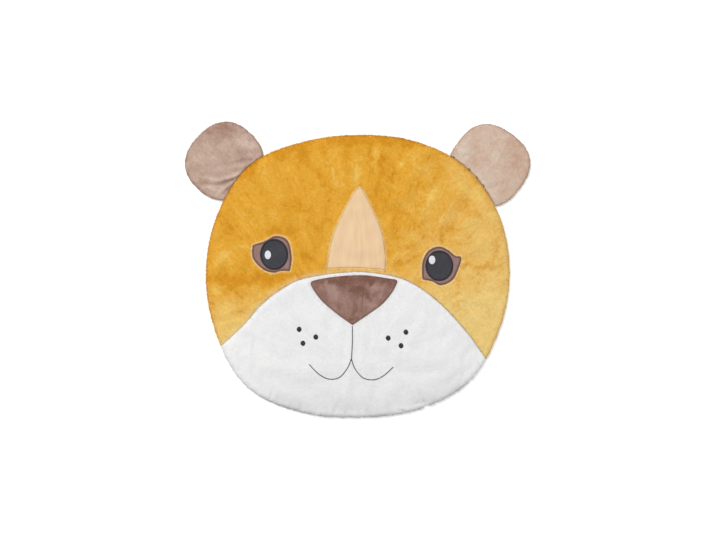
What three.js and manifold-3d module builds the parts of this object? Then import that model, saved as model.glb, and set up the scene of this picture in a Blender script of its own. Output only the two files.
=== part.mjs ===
// A lion-face play mat of short plush, lying face up on the floor.
// It is a thin filled pad with two flat ears caught in its outer seam. The yellow head panel and
// the white muzzle panel meet at one curved seam. The blaze, the nose and the eyes are flat pieces
// sewn on top, and the mouth and the whisker dots are embroidered.
// Millimetres, +Z up. The origin is the middle of the mat's box, on the floor, and +Y is the top of
// the face. Left and right are as seen when looking down at the face.
import * as THREE from "three";
import Module from "manifold-3d";

const wasm = await Module();
wasm.setup();

// Sizes

const clearGap = 0.3; // between pieces that touch
const headCentre = { x: 4, y: -8 };

// How far the head's outer seam lies from the head's centre, anticlockwise from +X in equal steps.
const rimReaches = [
  433, 435, 431, 409, 395, 407, 439, 440, 440, 447, 461, 435, 417.5, 429, 446, 436,
];

// The filled pad. Its outer seam stands a little off the floor, above it the plush rolls up over
// the edge, and from there the filling rises slowly to the crown.
const pad = {
  seamHeight: 4.5,
  edgeRise: 5,
  edgeWidth: 11,
  crownRise: 5.5,
  crownReach: 85,
  underWidth: 8,
};

// The seam between yellow and white draws the filling down along a valley.
const muzzleSeam = {
  leftBearing: 208.2,
  rightBearing: 325.7,
  between: [
    [-326, -158],
    [-278, -103],
    [-219, -57],
    [-150, -25],
    [-10, -7],
    [100, -19],
    [170, -47],
    [243, -103],
    [317, -184],
  ],
  valleyDepth: 2.6,
  valleyWidth: 7,
};

// Soft dips and rises of the filled pad: where each one lies, how far it runs along its bearing,
// how wide it is across, and how high it rises (below zero is a dip).
const swells = [
  { x: 180, y: -385, along: 26, across: 7, bearing: 135, rise: -2.6 },
  { x: 150, y: -360, along: 60, across: 13, bearing: 128, rise: -1.1 },
  { x: 206, y: -350, along: 45, across: 15, bearing: 122, rise: 1.0 },
  { x: 118, y: -396, along: 34, across: 8, bearing: 8, rise: -1.4 },
  { x: -45, y: -402, along: 40, across: 9, bearing: 175, rise: -1.2 },
  { x: -150, y: -350, along: 70, across: 20, bearing: 160, rise: -0.8 },
  { x: -250, y: 250, along: 90, across: 30, bearing: 130, rise: 0.9 },
  { x: -120, y: 270, along: 80, across: 26, bearing: 100, rise: -0.8 },
  { x: 150, y: 280, along: 80, across: 28, bearing: 75, rise: 0.8 },
  { x: 290, y: 150, along: 90, across: 26, bearing: 60, rise: -0.8 },
  { x: -340, y: -40, along: 80, across: 24, bearing: 95, rise: 0.9 },
  { x: 345, y: -90, along: 80, across: 24, bearing: 80, rise: -0.7 },
];

// Each ear is a rounded lobe, with its longer half size turned to a bearing, cut off along the
// head's outer seam.
const earPad = {
  seamHeight: 4.5,
  edgeRise: 2.6,
  edgeWidth: 8,
  crownRise: 3,
  crownReach: 40,
  underWidth: 8,
};
const ears = {
  left: { x: -384, y: 312.5, halfLong: 110, halfWide: 103, bearing: 47, squareness: 2.39 },
  right: { x: 378, y: 300, halfLong: 111, halfWide: 111, bearing: 54, squareness: 2.51 },
};

// Folds of the ears: a soft ridge, or a crease below zero, from one point to another.
const earFolds = [
  { ear: "left", from: [-300, 312], to: [-372, 306], width: 8, rise: -2.4 },
  { ear: "left", from: [-318, 296], to: [-395, 286], width: 11, rise: 1.6 },
  { ear: "left", from: [-334, 272], to: [-440, 262], width: 8, rise: 3.4 },
  { ear: "left", from: [-338, 262], to: [-455, 245], width: 7, rise: -3.2 },
  { ear: "left", from: [-352, 244], to: [-408, 221], width: 8, rise: 2.4 },
  { ear: "left", from: [-372, 230], to: [-430, 226], width: 7, rise: -2.0 },
  { ear: "right", from: [300, 318], to: [352, 352], width: 10, rise: -1.2 },
  { ear: "right", from: [338, 268], to: [392, 298], width: 11, rise: 1.2 },
  { ear: "right", from: [372, 232], to: [430, 252], width: 9, rise: -1.4 },
];

// Pieces sewn flat on the pad. Each outline is a ring of edges that meet at corners, and each edge
// is a smooth curve through its points, anticlockwise.
const sewnPiece = { thickness: 1.1, edgeRound: 1.2 };
const blazeOutline = [
  [[-87, 4], [-40, 6], [-5, 6], [40, 4], [78, 0]],
  [[78, 0], [78, 45], [66, 115], [36, 183], [13, 230]],
  [[13, 230], [6, 234], [-3, 228]],
  [[-3, 228], [-17, 208], [-55, 133], [-76, 72], [-87, 4]],
];
const noseOutline = [
  [[-15, -160], [36, -126], [73, -98], [100, -65], [114, -38]],
  [[114, -38], [112, -30], [91, -26], [16, -16], [-61, -20], [-116, -29], [-132, -34]],
  [[-132, -34], [-134, -46], [-107, -86], [-65, -124], [-15, -160]],
];
const eyes = {
  left: {
    centre: [-240, 43.5],
    iris: { halfWide: 40.5, halfTall: 44.5 },
    highlight: { x: -18, y: -1.5, halfWide: 9, halfTall: 12.5 },
    rim: [
      [[-62, 26], [-61, -10], [-34, -41], [-4, -52], [20, -47], [45, -47]],
      [[45, -47], [50, -5], [38, 41], [4, 53], [-27, 38], [-62, 26]],
    ],
  },
  right: {
    centre: [235, 11],
    iris: { halfWide: 40, halfTall: 44 },
    highlight: { x: -21, y: 16.5, halfWide: 9.3, halfTall: 12.3 },
    rim: [
      [[-48, -39], [-20, -45], [5, -56], [40, -38], [61, 10], [62, 26]],
      [[62, 26], [47, 28], [24, 46], [-1, 55], [-30, 44], [-47, 15], [-50, -20], [-48, -39]],
    ],
  },
};

// Embroidery.
const stitchedLine = { width: 3.4, height: 1 };
const mouthLines = [
  [[-15, -163], [-15, -210], [-18, -262]],
  [[-18, -256], [-29, -283], [-52, -310], [-82, -315], [-111, -301], [-139, -273]],
  [[-18, -256], [-8, -284], [15, -311], [46, -317], [74, -306], [102, -281]],
];
const whiskerDot = { halfWide: 6.8, halfTall: 8.1, height: 1.2 };
const whiskerDots = {
  left: [[-168, -172], [-120, -194], [-157, -212]],
  right: [[88, -197], [139, -180], [125, -219]],
};

// How finely the shapes are divided.
const panelColumns = 68;
const earSteps = 60;
const outlineSpacing = 11;
// Rows of a sewn piece between its edge and its middle, as shares of the way in.
const wideRows = [0.1, 0.25, 0.45, 0.7];
const narrowRows = [0.35];

// Small helpers

const radians = (degrees) => (degrees * Math.PI) / 180;
const clamp01 = (value) => Math.min(1, Math.max(0, value));
const mix = (a, b, share) => a + (b - a) * share;

// A smooth curve through a few points in plan, sampled at even spacing.
function curveThrough(points, steps) {
  const curve = new THREE.SplineCurve(points.map(([x, y]) => new THREE.Vector2(x, y)));
  return curve.getSpacedPoints(steps);
}

// A quarter ellipse that rises steeply from 0 at the edge to 1 at the given width.
const roundedEdge = (distance, width) =>
  Math.sqrt(1 - (1 - clamp01(distance / width)) ** 2);

// The head's outer seam

// Reach of the rim at a bearing in radians, smooth through the even steps of the table.
function rimReach(bearing) {
  const count = rimReaches.length;
  const place = (((bearing / (2 * Math.PI)) % 1) + 1) % 1 * count;
  const first = Math.floor(place);
  const t = place - first;
  const [a, b, c, d] = [-1, 0, 1, 2].map((step) => rimReaches[(first + step + count) % count]);
  return b + 0.5 * t * (c - a + t * (2 * a - 5 * b + 4 * c - d + t * (3 * (b - c) + d - a)));
}

function rimPoint(bearing) {
  const reach = rimReach(bearing);
  return new THREE.Vector2(
    headCentre.x + reach * Math.cos(bearing),
    headCentre.y + reach * Math.sin(bearing),
  );
}

// How far inside the rim a point lies, measured along the line from the head's centre.
function depthInHead(x, y) {
  const dx = x - headCentre.x;
  const dy = y - headCentre.y;
  return rimReach(Math.atan2(dy, dx)) - Math.hypot(dx, dy);
}

// The muzzle seam, from the left rim to the right rim

const seamCorners = [
  rimPoint(radians(muzzleSeam.leftBearing)).toArray(),
  ...muzzleSeam.between,
  rimPoint(radians(muzzleSeam.rightBearing)).toArray(),
];
const seamLine = curveThrough(seamCorners, panelColumns);

// The seam moved sideways, above it for the head panel and below it for the muzzle panel.
function seamBeside(offset) {
  return seamLine.map((point, i) => {
    const before = seamLine[Math.max(0, i - 1)];
    const after = seamLine[Math.min(panelColumns, i + 1)];
    const along = after.clone().sub(before).normalize();
    return new THREE.Vector2(point.x - along.y * offset, point.y + along.x * offset);
  });
}

function distanceToSeam(x, y) {
  let nearest = Infinity;
  for (let i = 0; i < panelColumns; i++) {
    const start = seamLine[i];
    const run = seamLine[i + 1].clone().sub(start);
    const share = clamp01(((x - start.x) * run.x + (y - start.y) * run.y) / run.lengthSq());
    nearest = Math.min(nearest, Math.hypot(x - start.x - run.x * share, y - start.y - run.y * share));
  }
  return nearest;
}

// Heights

function swellAt(x, y) {
  let height = 0;
  for (const { x: sx, y: sy, along, across, bearing, rise } of swells) {
    const turn = radians(bearing);
    const u = (x - sx) * Math.cos(turn) + (y - sy) * Math.sin(turn);
    const v = (y - sy) * Math.cos(turn) - (x - sx) * Math.sin(turn);
    height += rise * Math.exp(-((u / along) ** 2) - (v / across) ** 2);
  }
  return height;
}

function padTop(x, y) {
  const depth = Math.max(0, depthInHead(x, y));
  const filling = 1 - Math.exp(-depth / pad.crownReach);
  const valley = muzzleSeam.valleyDepth * Math.exp(-((distanceToSeam(x, y) / muzzleSeam.valleyWidth) ** 2));
  return (
    pad.seamHeight +
    pad.edgeRise * roundedEdge(depth, pad.edgeWidth) +
    pad.crownRise * filling +
    (swellAt(x, y) - valley) * clamp01(depth / 18)
  );
}

const underHeight = (depth, shape) => shape.seamHeight * (1 - roundedEdge(depth, shape.underWidth));
const padUnder = (x, y) => underHeight(Math.max(0, depthInHead(x, y)), pad);

// How far a point is from a fold's line, and how far along it lies, from 0 to 1.
function foldAt(fold, x, y) {
  const [fx, fy] = fold.from;
  const runX = fold.to[0] - fx;
  const runY = fold.to[1] - fy;
  const share = ((x - fx) * runX + (y - fy) * runY) / (runX * runX + runY * runY);
  const nearest = clamp01(share);
  const away = Math.hypot(x - fx - runX * nearest, y - fy - runY * nearest);
  return fold.rise * Math.exp(-((away / fold.width) ** 2)) * (1 - 0.6 * nearest);
}

// A closed mesh built triangle by triangle. Points that fall together are one point, and a
// triangle that has lost a side is left out.
class Facets {
  places = [];
  corners = [];
  known = new Map();

  point(x, y, z) {
    const key = [x, y, z].map((value) => Math.round(value * 500)).join();
    if (!this.known.has(key)) {
      this.known.set(key, this.places.length / 3);
      this.places.push(x, y, z);
    }
    return this.known.get(key);
  }

  triangle(a, b, c) {
    if (a !== b && b !== c && c !== a) this.corners.push(a, b, c);
  }

  quad(a, b, c, d) {
    this.triangle(a, b, c);
    this.triangle(a, c, d);
  }

  geometry() {
    const made = new THREE.BufferGeometry();
    made.setAttribute("position", new THREE.Float32BufferAttribute(this.places, 3));
    made.setIndex(this.corners);
    made.computeVertexNormals();
    return made;
  }
}

// The two panels of the pad

// Places along a line from one edge of a panel to the other, as shares of its length: close
// together near each edge, even between. A short line takes the same places drawn together.
function placesAcross(length, nearStart, nearEnd, between) {
  const reach = nearStart.at(-1) + nearEnd.at(-1);
  const squeeze = Math.min(1, (0.8 * length) / reach);
  const start = nearStart.map((distance) => distance * squeeze);
  const end = nearEnd.map((distance) => length - distance * squeeze).reverse();
  const inner = Array.from({ length: between }, (_, k) =>
    mix(start.at(-1), end[0], (k + 1) / (between + 1)),
  );
  return [...start, ...inner, ...end].map((distance) => (length > 0 ? distance / length : 0));
}

// One panel of the pad between a lower and an upper edge that have the same number of points.
function panelGeometry(lowerEdge, upperEdge, nearLower, nearUpper, between) {
  const facets = new Facets();
  const layer = (height, nearStart, nearEnd, inner) =>
    lowerEdge.map((low, i) => {
      const high = upperEdge[i];
      return placesAcross(low.distanceTo(high), nearStart, nearEnd, inner).map((share) => {
        const x = mix(low.x, high.x, share);
        const y = mix(low.y, high.y, share);
        return facets.point(x, y, height(x, y));
      });
    });
  const top = layer(padTop, nearLower.top, nearUpper.top, between);
  const under = layer(padUnder, nearLower.under, nearUpper.under, 0);
  for (let i = 0; i < lowerEdge.length - 1; i++) {
    for (let j = 0; j < top[i].length - 1; j++)
      facets.quad(top[i][j], top[i + 1][j], top[i + 1][j + 1], top[i][j + 1]);
    for (let j = 0; j < under[i].length - 1; j++)
      facets.quad(under[i][j], under[i][j + 1], under[i + 1][j + 1], under[i + 1][j]);
    facets.quad(under[i][0], under[i + 1][0], top[i + 1][0], top[i][0]);
    facets.quad(top[i].at(-1), top[i + 1].at(-1), under[i + 1].at(-1), under[i].at(-1));
  }
  return facets.geometry();
}

const atSeam = { top: [0, 4, 9, 17], under: [0, 20] };
const atRim = { top: [0, 0.9, 3.2, 6.8, 11, 30], under: [0, 1.2, 4, 8] };

// The rim between two bearings, one point for each column. Its ends are the given tips.
function rimBetween(from, to, tips) {
  const points = seamLine.map((_, i) => rimPoint(radians(mix(from, to, i / panelColumns))));
  points[0] = tips[0];
  points[panelColumns] = tips[1];
  return points;
}

function headPanel() {
  const seam = seamBeside(clearGap / 2);
  const tips = [seam[0], seam[panelColumns]];
  const rim = rimBetween(muzzleSeam.leftBearing, muzzleSeam.rightBearing - 360, tips);
  return panelGeometry(seam, rim, atSeam, atRim, 6);
}

function muzzlePanel() {
  const seam = seamBeside(-clearGap / 2);
  const tips = [seam[0], seam[panelColumns]];
  const rim = rimBetween(muzzleSeam.leftBearing, muzzleSeam.rightBearing, tips);
  return panelGeometry(rim, seam, atRim, atSeam, 3);
}

// Flat shapes with a middle

// A closed solid over an outline that its middle can see all round. Each row lies some
// millimetres and then some share of the way in from the outline, from the middle of the
// underside out to the edge and back to the middle of the top.
function starGeometry(outline, middle, rows) {
  const facets = new Facets();
  const rings = rows.map(({ inset = 0, share = 0, height }) =>
    outline.map((point) => {
      const reach = point.distanceTo(middle);
      const way = Math.min(1, inset / reach + share);
      const x = mix(point.x, middle.x, way);
      const y = mix(point.y, middle.y, way);
      return facets.point(x, y, height(x, y));
    }),
  );
  for (let r = 0; r < rings.length - 1; r++)
    for (let i = 0; i < outline.length; i++) {
      const next = (i + 1) % outline.length;
      facets.quad(rings[r][i], rings[r][next], rings[r + 1][next], rings[r + 1][i]);
    }
  return facets.geometry();
}

// Ears

function lobeReach(ear, bearing) {
  const turn = bearing - radians(ear.bearing);
  const long = Math.abs(Math.cos(turn) / ear.halfLong) ** ear.squareness;
  const wide = Math.abs(Math.sin(turn) / ear.halfWide) ** ear.squareness;
  return (long + wide) ** (-1 / ear.squareness);
}

// The ear's outline: the lobe where it stands free, and the head's outer seam where it is caught.
function earOutline(ear) {
  return Array.from({ length: earSteps }, (_, i) => {
    const bearing = (i / earSteps) * 2 * Math.PI;
    const at = (reach) =>
      new THREE.Vector2(ear.x + reach * Math.cos(bearing), ear.y + reach * Math.sin(bearing));
    let reach = lobeReach(ear, bearing);
    if (depthInHead(...at(reach).toArray()) > -clearGap) {
      let inside = reach;
      let outside = 0;
      for (let step = 0; step < 24; step++) {
        reach = (inside + outside) / 2;
        if (depthInHead(...at(reach).toArray()) > -clearGap) inside = reach;
        else outside = reach;
      }
      reach = outside;
    }
    return at(reach);
  });
}

function earGeometry(side) {
  const ear = ears[side];
  const middle = new THREE.Vector2(ear.x, ear.y);
  const folds = earFolds.filter((fold) => fold.ear === side);
  const depthInEar = (x, y) => {
    const away = Math.hypot(x - ear.x, y - ear.y);
    const free = lobeReach(ear, Math.atan2(y - ear.y, x - ear.x)) - away;
    return Math.max(0, Math.min(free, -clearGap - depthInHead(x, y)));
  };
  const top = (x, y) => {
    const depth = depthInEar(x, y);
    const folded = folds.reduce((height, fold) => height + foldAt(fold, x, y), 0);
    return (
      earPad.seamHeight +
      earPad.edgeRise * roundedEdge(depth, earPad.edgeWidth) +
      earPad.crownRise * (1 - Math.exp(-depth / earPad.crownReach)) +
      folded * clamp01(depth / 10)
    );
  };
  const under = (x, y) => underHeight(depthInEar(x, y), earPad);
  return starGeometry(earOutline(ear), middle, [
    { share: 1, height: () => 0 },
    { inset: 14, height: () => 0 },
    { inset: 4, height: under },
    { inset: 1.2, height: under },
    { height: () => earPad.seamHeight },
    { inset: 0.9, height: top },
    { inset: 3.5, height: top },
    { inset: 8, height: top },
    { inset: 8, share: 0.14, height: top },
    { inset: 8, share: 0.28, height: top },
    { inset: 8, share: 0.43, height: top },
    { inset: 8, share: 0.6, height: top },
    { inset: 8, share: 0.78, height: top },
    { share: 1, height: top },
  ]);
}

// Sewn and embroidered pieces

// The points of an outline, edge by edge, about evenly spaced.
function outlinePoints(edges, [cx, cy] = [0, 0], spacing = outlineSpacing) {
  return edges.flatMap((edge) => {
    const placed = edge.map(([x, y]) => [x + cx, y + cy]);
    const length = curveThrough(placed, 20).reduce(
      (sum, point, i, all) => sum + (i ? point.distanceTo(all[i - 1]) : 0),
      0,
    );
    return curveThrough(placed, Math.max(2, Math.round(length / spacing))).slice(0, -1);
  });
}

function ellipsePoints(x, y, halfWide, halfTall, count) {
  const ring = new THREE.EllipseCurve(x, y, halfWide, halfTall);
  return ring.getPoints(count).slice(0, -1);
}

// A flat piece laid on a surface whose height is given by the function below. The rows between
// its edge and its middle lie at the given shares of the way in.
function sewnGeometry(outline, middle, below, rows, { thickness, edgeRound } = sewnPiece) {
  const base = (x, y) => below(x, y) + clearGap;
  const side = (x, y) => base(x, y) + thickness * 0.45;
  const face = (x, y) => base(x, y) + thickness;
  return starGeometry(outline, middle, [
    { share: 1, height: base },
    ...rows.toReversed().map((share) => ({ inset: edgeRound, share, height: base })),
    { height: base },
    { height: side },
    { inset: edgeRound, height: face },
    ...rows.map((share) => ({ inset: edgeRound, share, height: face })),
    { share: 1, height: face },
  ]);
}

const onTopOf = (below) => (x, y) => below(x, y) + clearGap + sewnPiece.thickness;

// An embroidered line that follows the pad: a low rounded ridge along a curve.
function stitchedRidge(points) {
  const facets = new Facets();
  const { width, height } = stitchedLine;
  const section = [
    [-0.5, 0],
    [-0.38, 0.7],
    [0, 1],
    [0.38, 0.7],
    [0.5, 0],
  ];
  const curve = curveThrough(points, Math.round(points.length * 3));
  const rings = curve.map((point, i) => {
    const along = curve[Math.min(curve.length - 1, i + 1)].clone().sub(curve[Math.max(0, i - 1)]);
    along.normalize();
    return section.map(([across, up]) => {
      const x = point.x - along.y * across * width;
      const y = point.y + along.x * across * width;
      return facets.point(x, y, padTop(x, y) + clearGap + up * height);
    });
  });
  const count = section.length;
  for (let i = 0; i < rings.length - 1; i++)
    for (let j = 0; j < count; j++) {
      const next = (j + 1) % count;
      facets.quad(rings[i][j], rings[i + 1][j], rings[i + 1][next], rings[i][next]);
    }
  for (let j = 1; j < count - 1; j++) {
    facets.triangle(rings[0][0], rings[0][j], rings[0][j + 1]);
    facets.triangle(rings.at(-1)[0], rings.at(-1)[j + 1], rings.at(-1)[j]);
  }
  return facets;
}

function solidFrom(facets) {
  return new wasm.Manifold(
    new wasm.Mesh({
      numProp: 3,
      vertProperties: new Float32Array(facets.places),
      triVerts: new Uint32Array(facets.corners),
    }),
  );
}

// The mouth: the line below the nose and the two curved lines of the smile, as one piece.
function mouthGeometry() {
  const joined = mouthLines.map(stitchedRidge).map(solidFrom).reduce((a, b) => a.add(b));
  const { vertProperties, triVerts } = joined.getMesh();
  const made = new THREE.BufferGeometry();
  made.setAttribute("position", new THREE.BufferAttribute(vertProperties, 3));
  made.setIndex(new THREE.BufferAttribute(triVerts, 1));
  made.computeVertexNormals();
  return made;
}

function dotGeometry(x, y) {
  const { halfWide, halfTall, height } = whiskerDot;
  return sewnGeometry(
    ellipsePoints(x, y, halfWide, halfTall, 16),
    new THREE.Vector2(x, y),
    padTop,
    [],
    { thickness: height, edgeRound: 1.5 },
  );
}

// Cloths and threads

const plush = (color, roughness = 0.95) =>
  new THREE.MeshStandardMaterial({ color, roughness, metalness: 0 });
const yellowPlush = plush("#dba63f");
const whitePlush = plush("#e6e6e4");
const earPlush = plush("#c0a190");
const peachSatin = plush("#ebcca2", 0.7);
const brownPlush = plush("#8b685e");
const rimPlush = plush("#8f736c");
const slateThread = plush("#46464b", 0.6);
const whiteThread = plush("#e2e2ea", 0.6);
const blackThread = plush("#2c2c2e", 0.6);
const greyThread = plush("#6a6a6c", 0.6);

// The mat

const mat = new THREE.Group();

function addPiece(name, geometry, material) {
  const piece = new THREE.Mesh(geometry, material);
  piece.name = name;
  mat.add(piece);
}

function sewOn(name, outline, [mx, my], below, rows, material) {
  addPiece(name, sewnGeometry(outline, new THREE.Vector2(mx, my), below, rows), material);
}

addPiece("head_panel", headPanel(), yellowPlush);
addPiece("muzzle_panel", muzzlePanel(), whitePlush);
addPiece("ear_left", earGeometry("left"), earPlush);
addPiece("ear_right", earGeometry("right"), earPlush);
sewOn("blaze", outlinePoints(blazeOutline), [0, 78], padTop, wideRows, peachSatin);
sewOn("nose", outlinePoints(noseOutline), [-10, -68], padTop, wideRows, brownPlush);

for (const [side, eye] of Object.entries(eyes)) {
  const [x, y] = eye.centre;
  const { iris, highlight } = eye;
  const onRim = onTopOf(padTop);
  const onIris = onTopOf(onRim);
  const irisRing = ellipsePoints(x, y, iris.halfWide, iris.halfTall, 32);
  const glint = [x + highlight.x, y + highlight.y];
  const glintRing = ellipsePoints(...glint, highlight.halfWide, highlight.halfTall, 18);
  sewOn("eye_rim_" + side, outlinePoints(eye.rim, eye.centre, 9), eye.centre, padTop, narrowRows, rimPlush);
  sewOn("eye_iris_" + side, irisRing, eye.centre, onRim, narrowRows, slateThread);
  sewOn("eye_highlight_" + side, glintRing, glint, onIris, [], whiteThread);
}

addPiece("mouth_line", mouthGeometry(), greyThread);
for (const [side, dots] of Object.entries(whiskerDots))
  dots.forEach(([x, y], i) =>
    addPiece("whisker_dot_" + side + "_" + (i + 1), dotGeometry(x, y), blackThread),
  );

export default mat;
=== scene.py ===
import math

import bmesh
import bpy
import numpy as np
from mathutils.bvhtree import BVHTree
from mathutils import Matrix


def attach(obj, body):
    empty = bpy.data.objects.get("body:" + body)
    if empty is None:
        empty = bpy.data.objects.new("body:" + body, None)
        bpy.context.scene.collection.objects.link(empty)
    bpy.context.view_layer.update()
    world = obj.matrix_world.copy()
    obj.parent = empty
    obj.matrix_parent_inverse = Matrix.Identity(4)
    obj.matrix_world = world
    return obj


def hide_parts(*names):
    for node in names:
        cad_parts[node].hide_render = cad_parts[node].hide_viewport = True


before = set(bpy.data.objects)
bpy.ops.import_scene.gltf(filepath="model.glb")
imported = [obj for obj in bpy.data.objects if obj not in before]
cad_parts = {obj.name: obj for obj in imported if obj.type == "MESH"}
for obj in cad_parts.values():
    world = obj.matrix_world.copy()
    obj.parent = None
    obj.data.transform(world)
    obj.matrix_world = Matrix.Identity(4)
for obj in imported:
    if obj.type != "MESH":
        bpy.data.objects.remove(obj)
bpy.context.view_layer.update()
mm = 0.001
body = "root"


def placeObject(name, data):
    made = bpy.data.objects.new(name, data)
    bpy.context.collection.objects.link(made)
    return made


def setInputs(node, values):
    for key, value in values.items():
        node.inputs[key].default_value = value


# Camera: straight above the face, far off, so the mat is seen without distortion.
# One photo pixel is 2.882 mm on the mat, and the picture is 716 pixels wide.
cameraSettings = {
    "height": 6.0,
    "pictureWidth": 716,
    "pixelSize": 2.882 * mm,
    "middle": (1.2 * mm, -1.4 * mm),
    "sensor": 36.0,
}


def makeCamera(settings):
    data = bpy.data.cameras.new("overheadCamera")
    data.sensor_width = settings["sensor"]
    fieldWidth = settings["pictureWidth"] * settings["pixelSize"]
    data.lens = settings["sensor"] * settings["height"] / fieldWidth
    data.clip_end = 60.0
    camera = placeObject("overheadCamera", data)
    camera.location = (*settings["middle"], settings["height"])
    bpy.context.scene.camera = camera


makeCamera(cameraSettings)
print("camera ready")

# Light and floor: a white floor, an even sky and two big soft boxes.
studioSettings = {
    "skyStrength": 0.35,
    "floorColour": (0.97, 0.97, 0.97),
    "floorGlow": 0.24,
    "floorSize": 40.0,
    "floorHeight": -0.3 * mm,
    "boxes": [
        {"name": "keyBox", "place": (-3.6, 4.8, 6.4), "size": 3.8, "power": 610.0},
        {"name": "fillBox", "place": (5.2, -2.6, 5.6), "size": 6.0, "power": 160.0},
    ],
}


def makeStudio(settings):
    scene = bpy.context.scene
    scene.view_settings.view_transform = "Standard"
    scene.view_settings.look = "None"
    world = bpy.data.worlds.new("evenSky")
    world.use_nodes = True
    sky = {"Color": (1, 1, 1, 1), "Strength": settings["skyStrength"]}
    setInputs(world.node_tree.nodes["Background"], sky)
    scene.world = world
    for box in settings["boxes"]:
        light = bpy.data.lights.new(box["name"], "AREA")
        light.size = box["size"]
        light.energy = box["power"]
        lamp = placeObject(box["name"], light)
        lamp.location = box["place"]
        towards = -lamp.location
        lamp.rotation_euler = towards.to_track_quat("-Z", "Y").to_euler()
        lamp.visible_camera = False
    half = settings["floorSize"] / 2
    corners = [(x * half, y * half, settings["floorHeight"]) for x, y in ((-1, -1), (1, -1), (1, 1), (-1, 1))]
    mesh = bpy.data.meshes.new("floor")
    mesh.from_pydata(corners, [], [(0, 1, 2, 3)])
    paint = bpy.data.materials.new("paleFloor")
    paint.use_nodes = True
    finish = {
        "Base Color": (*settings["floorColour"], 1),
        "Roughness": 0.9,
        "Specular IOR Level": 0.1,
        "Emission Color": (1, 1, 1, 1),
        "Emission Strength": settings["floorGlow"],
    }
    setInputs(paint.node_tree.nodes["Principled BSDF"], finish)
    mesh.materials.append(paint)
    placeObject("floor", mesh)


makeStudio(studioSettings)
print("studio ready")


# Small helpers
def clamp01(value):
    return np.clip(value, 0.0, 1.0)


def smoothStep(value):
    t = clamp01(value)
    return t * t * (3 - 2 * t)


def linearColour(red, green, blue):
    channels = [value / 255 for value in (red, green, blue)]
    return tuple(c / 12.92 if c <= 0.04045 else ((c + 0.055) / 1.055) ** 2.4 for c in channels) + (1.0,)


def smoothBetween(a, b, c, d, t):
    # smooth curve from b to c, led by the points before and after them
    return b + 0.5 * t * (c - a + t * (2 * a - 5 * b + 4 * c - d + t * (3 * (b - c) + d - a)))


def curveThrough(points, steps, closed=False):
    # smooth curve through a few points, sampled at even spacing
    points = np.array(points, float)
    count = len(points)
    spans = count if closed else count - 1
    places = np.linspace(0, spans, spans * 60 + 1)
    first = np.minimum(places.astype(int), spans - 1)
    t = (places - first)[:, None]

    def knot(index):
        return points[index % count] if closed else points[np.clip(index, 0, count - 1)]

    a, b, c, d = knot(first - 1), knot(first), knot(first + 1), knot(first + 2)
    dense = smoothBetween(a, b, c, d, t)
    gone = np.concatenate([[0], np.cumsum(np.linalg.norm(np.diff(dense, axis=0), axis=1))])
    even = np.linspace(0, gone[-1], steps + 1)
    return np.column_stack([np.interp(even, gone, dense[:, k]) for k in range(points.shape[1])])


def lengthOf(points):
    return float(np.linalg.norm(np.diff(points, axis=0), axis=1).sum())


def ripple(place, seed):
    # smooth uneven wave between about -1 and 1 that never quite repeats
    waves = [(1.0, 0.5), (1.73, 0.33), (2.61, 0.25), (4.17, 0.14)]
    return sum(size * np.sin(pitch * place + seed * (3.1 + pitch)) for pitch, size in waves)


def wavesAlong(place, spacing, seed):
    return ripple(2 * math.pi * place / spacing, seed)


def wayIn(reach, inset, share):
    # how far in from an outline to its middle, as a share: an inset first, then a share of the rest
    return np.minimum(1, inset / reach + share * (1 - inset / reach))


def namedRows(columns, rows):
    return [dict(zip(columns, row)) for row in rows]


# Columns of the tables of marks: a middle, half sizes along and across the bearing, and a strength
riseColumns = ("at", "along", "across", "bearing", "rise")
toneColumns = ("at", "along", "across", "bearing", "tone")


def meshObject(name, places, faces):
    mergeDistance = 0.02 * mm
    mesh = bpy.data.meshes.new(name)
    mesh.from_pydata([tuple(p) for p in places], [], faces)
    work = bmesh.new()
    work.from_mesh(mesh)
    bmesh.ops.remove_doubles(work, verts=work.verts, dist=mergeDistance)
    bmesh.ops.dissolve_degenerate(work, edges=work.edges, dist=mergeDistance)
    bmesh.ops.recalc_face_normals(work, faces=work.faces)
    for face in work.faces:
        face.smooth = True
    work.to_mesh(mesh)
    work.free()
    return placeObject(name, mesh)


def dress(piece, material, nodes=()):
    # material, ride and the nodes that the piece stands for
    if material is not None:
        piece.data.materials.clear()
        piece.data.materials.append(material)
    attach(piece, body)
    if nodes:
        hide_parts(*nodes)
    return piece


def applyModifiers(piece):
    graph = bpy.context.evaluated_depsgraph_get()
    finished = bpy.data.meshes.new_from_object(piece.evaluated_get(graph))
    piece.modifiers.clear()
    old = piece.data
    piece.data = finished
    finished.name = piece.name
    bpy.data.meshes.remove(old)


# Sewn pieces: each outline is a ring of smooth edges that meet at corners, anticlockwise
sewnSettings = {
    "gap": 0.25,
    "thickness": 1.1,
    "edgeRound": 1.0,
    "rolledEdge": [(0.35, 0.0), (0, 0.3), (0, 0.62), (0.3, 0.9)],
    "grooveDepth": 0.9,
    "grooveWidth": 4.0,
    "blaze": {
        "middle": (0, 78),
        "edges": [
            [(-87, 4), (-40, 6), (-5, 6), (40, 4), (78, 0)],
            [(78, 0), (78, 45), (66, 115), (36, 183), (13, 230)],
            [(13, 230), (6, 234), (-3, 228)],
            [(-3, 228), (-17, 208), (-55, 133), (-76, 72), (-87, 4)],
        ],
    },
    "nose": {
        "middle": (-10, -68),
        "edges": [
            [(-15, -160), (36, -126), (73, -98), (100, -65), (114, -38)],
            [(114, -38), (112, -30), (91, -26), (16, -16), (-61, -20), (-116, -29), (-132, -34)],
            [(-132, -34), (-134, -46), (-107, -86), (-65, -124), (-15, -160)],
        ],
    },
}
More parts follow.
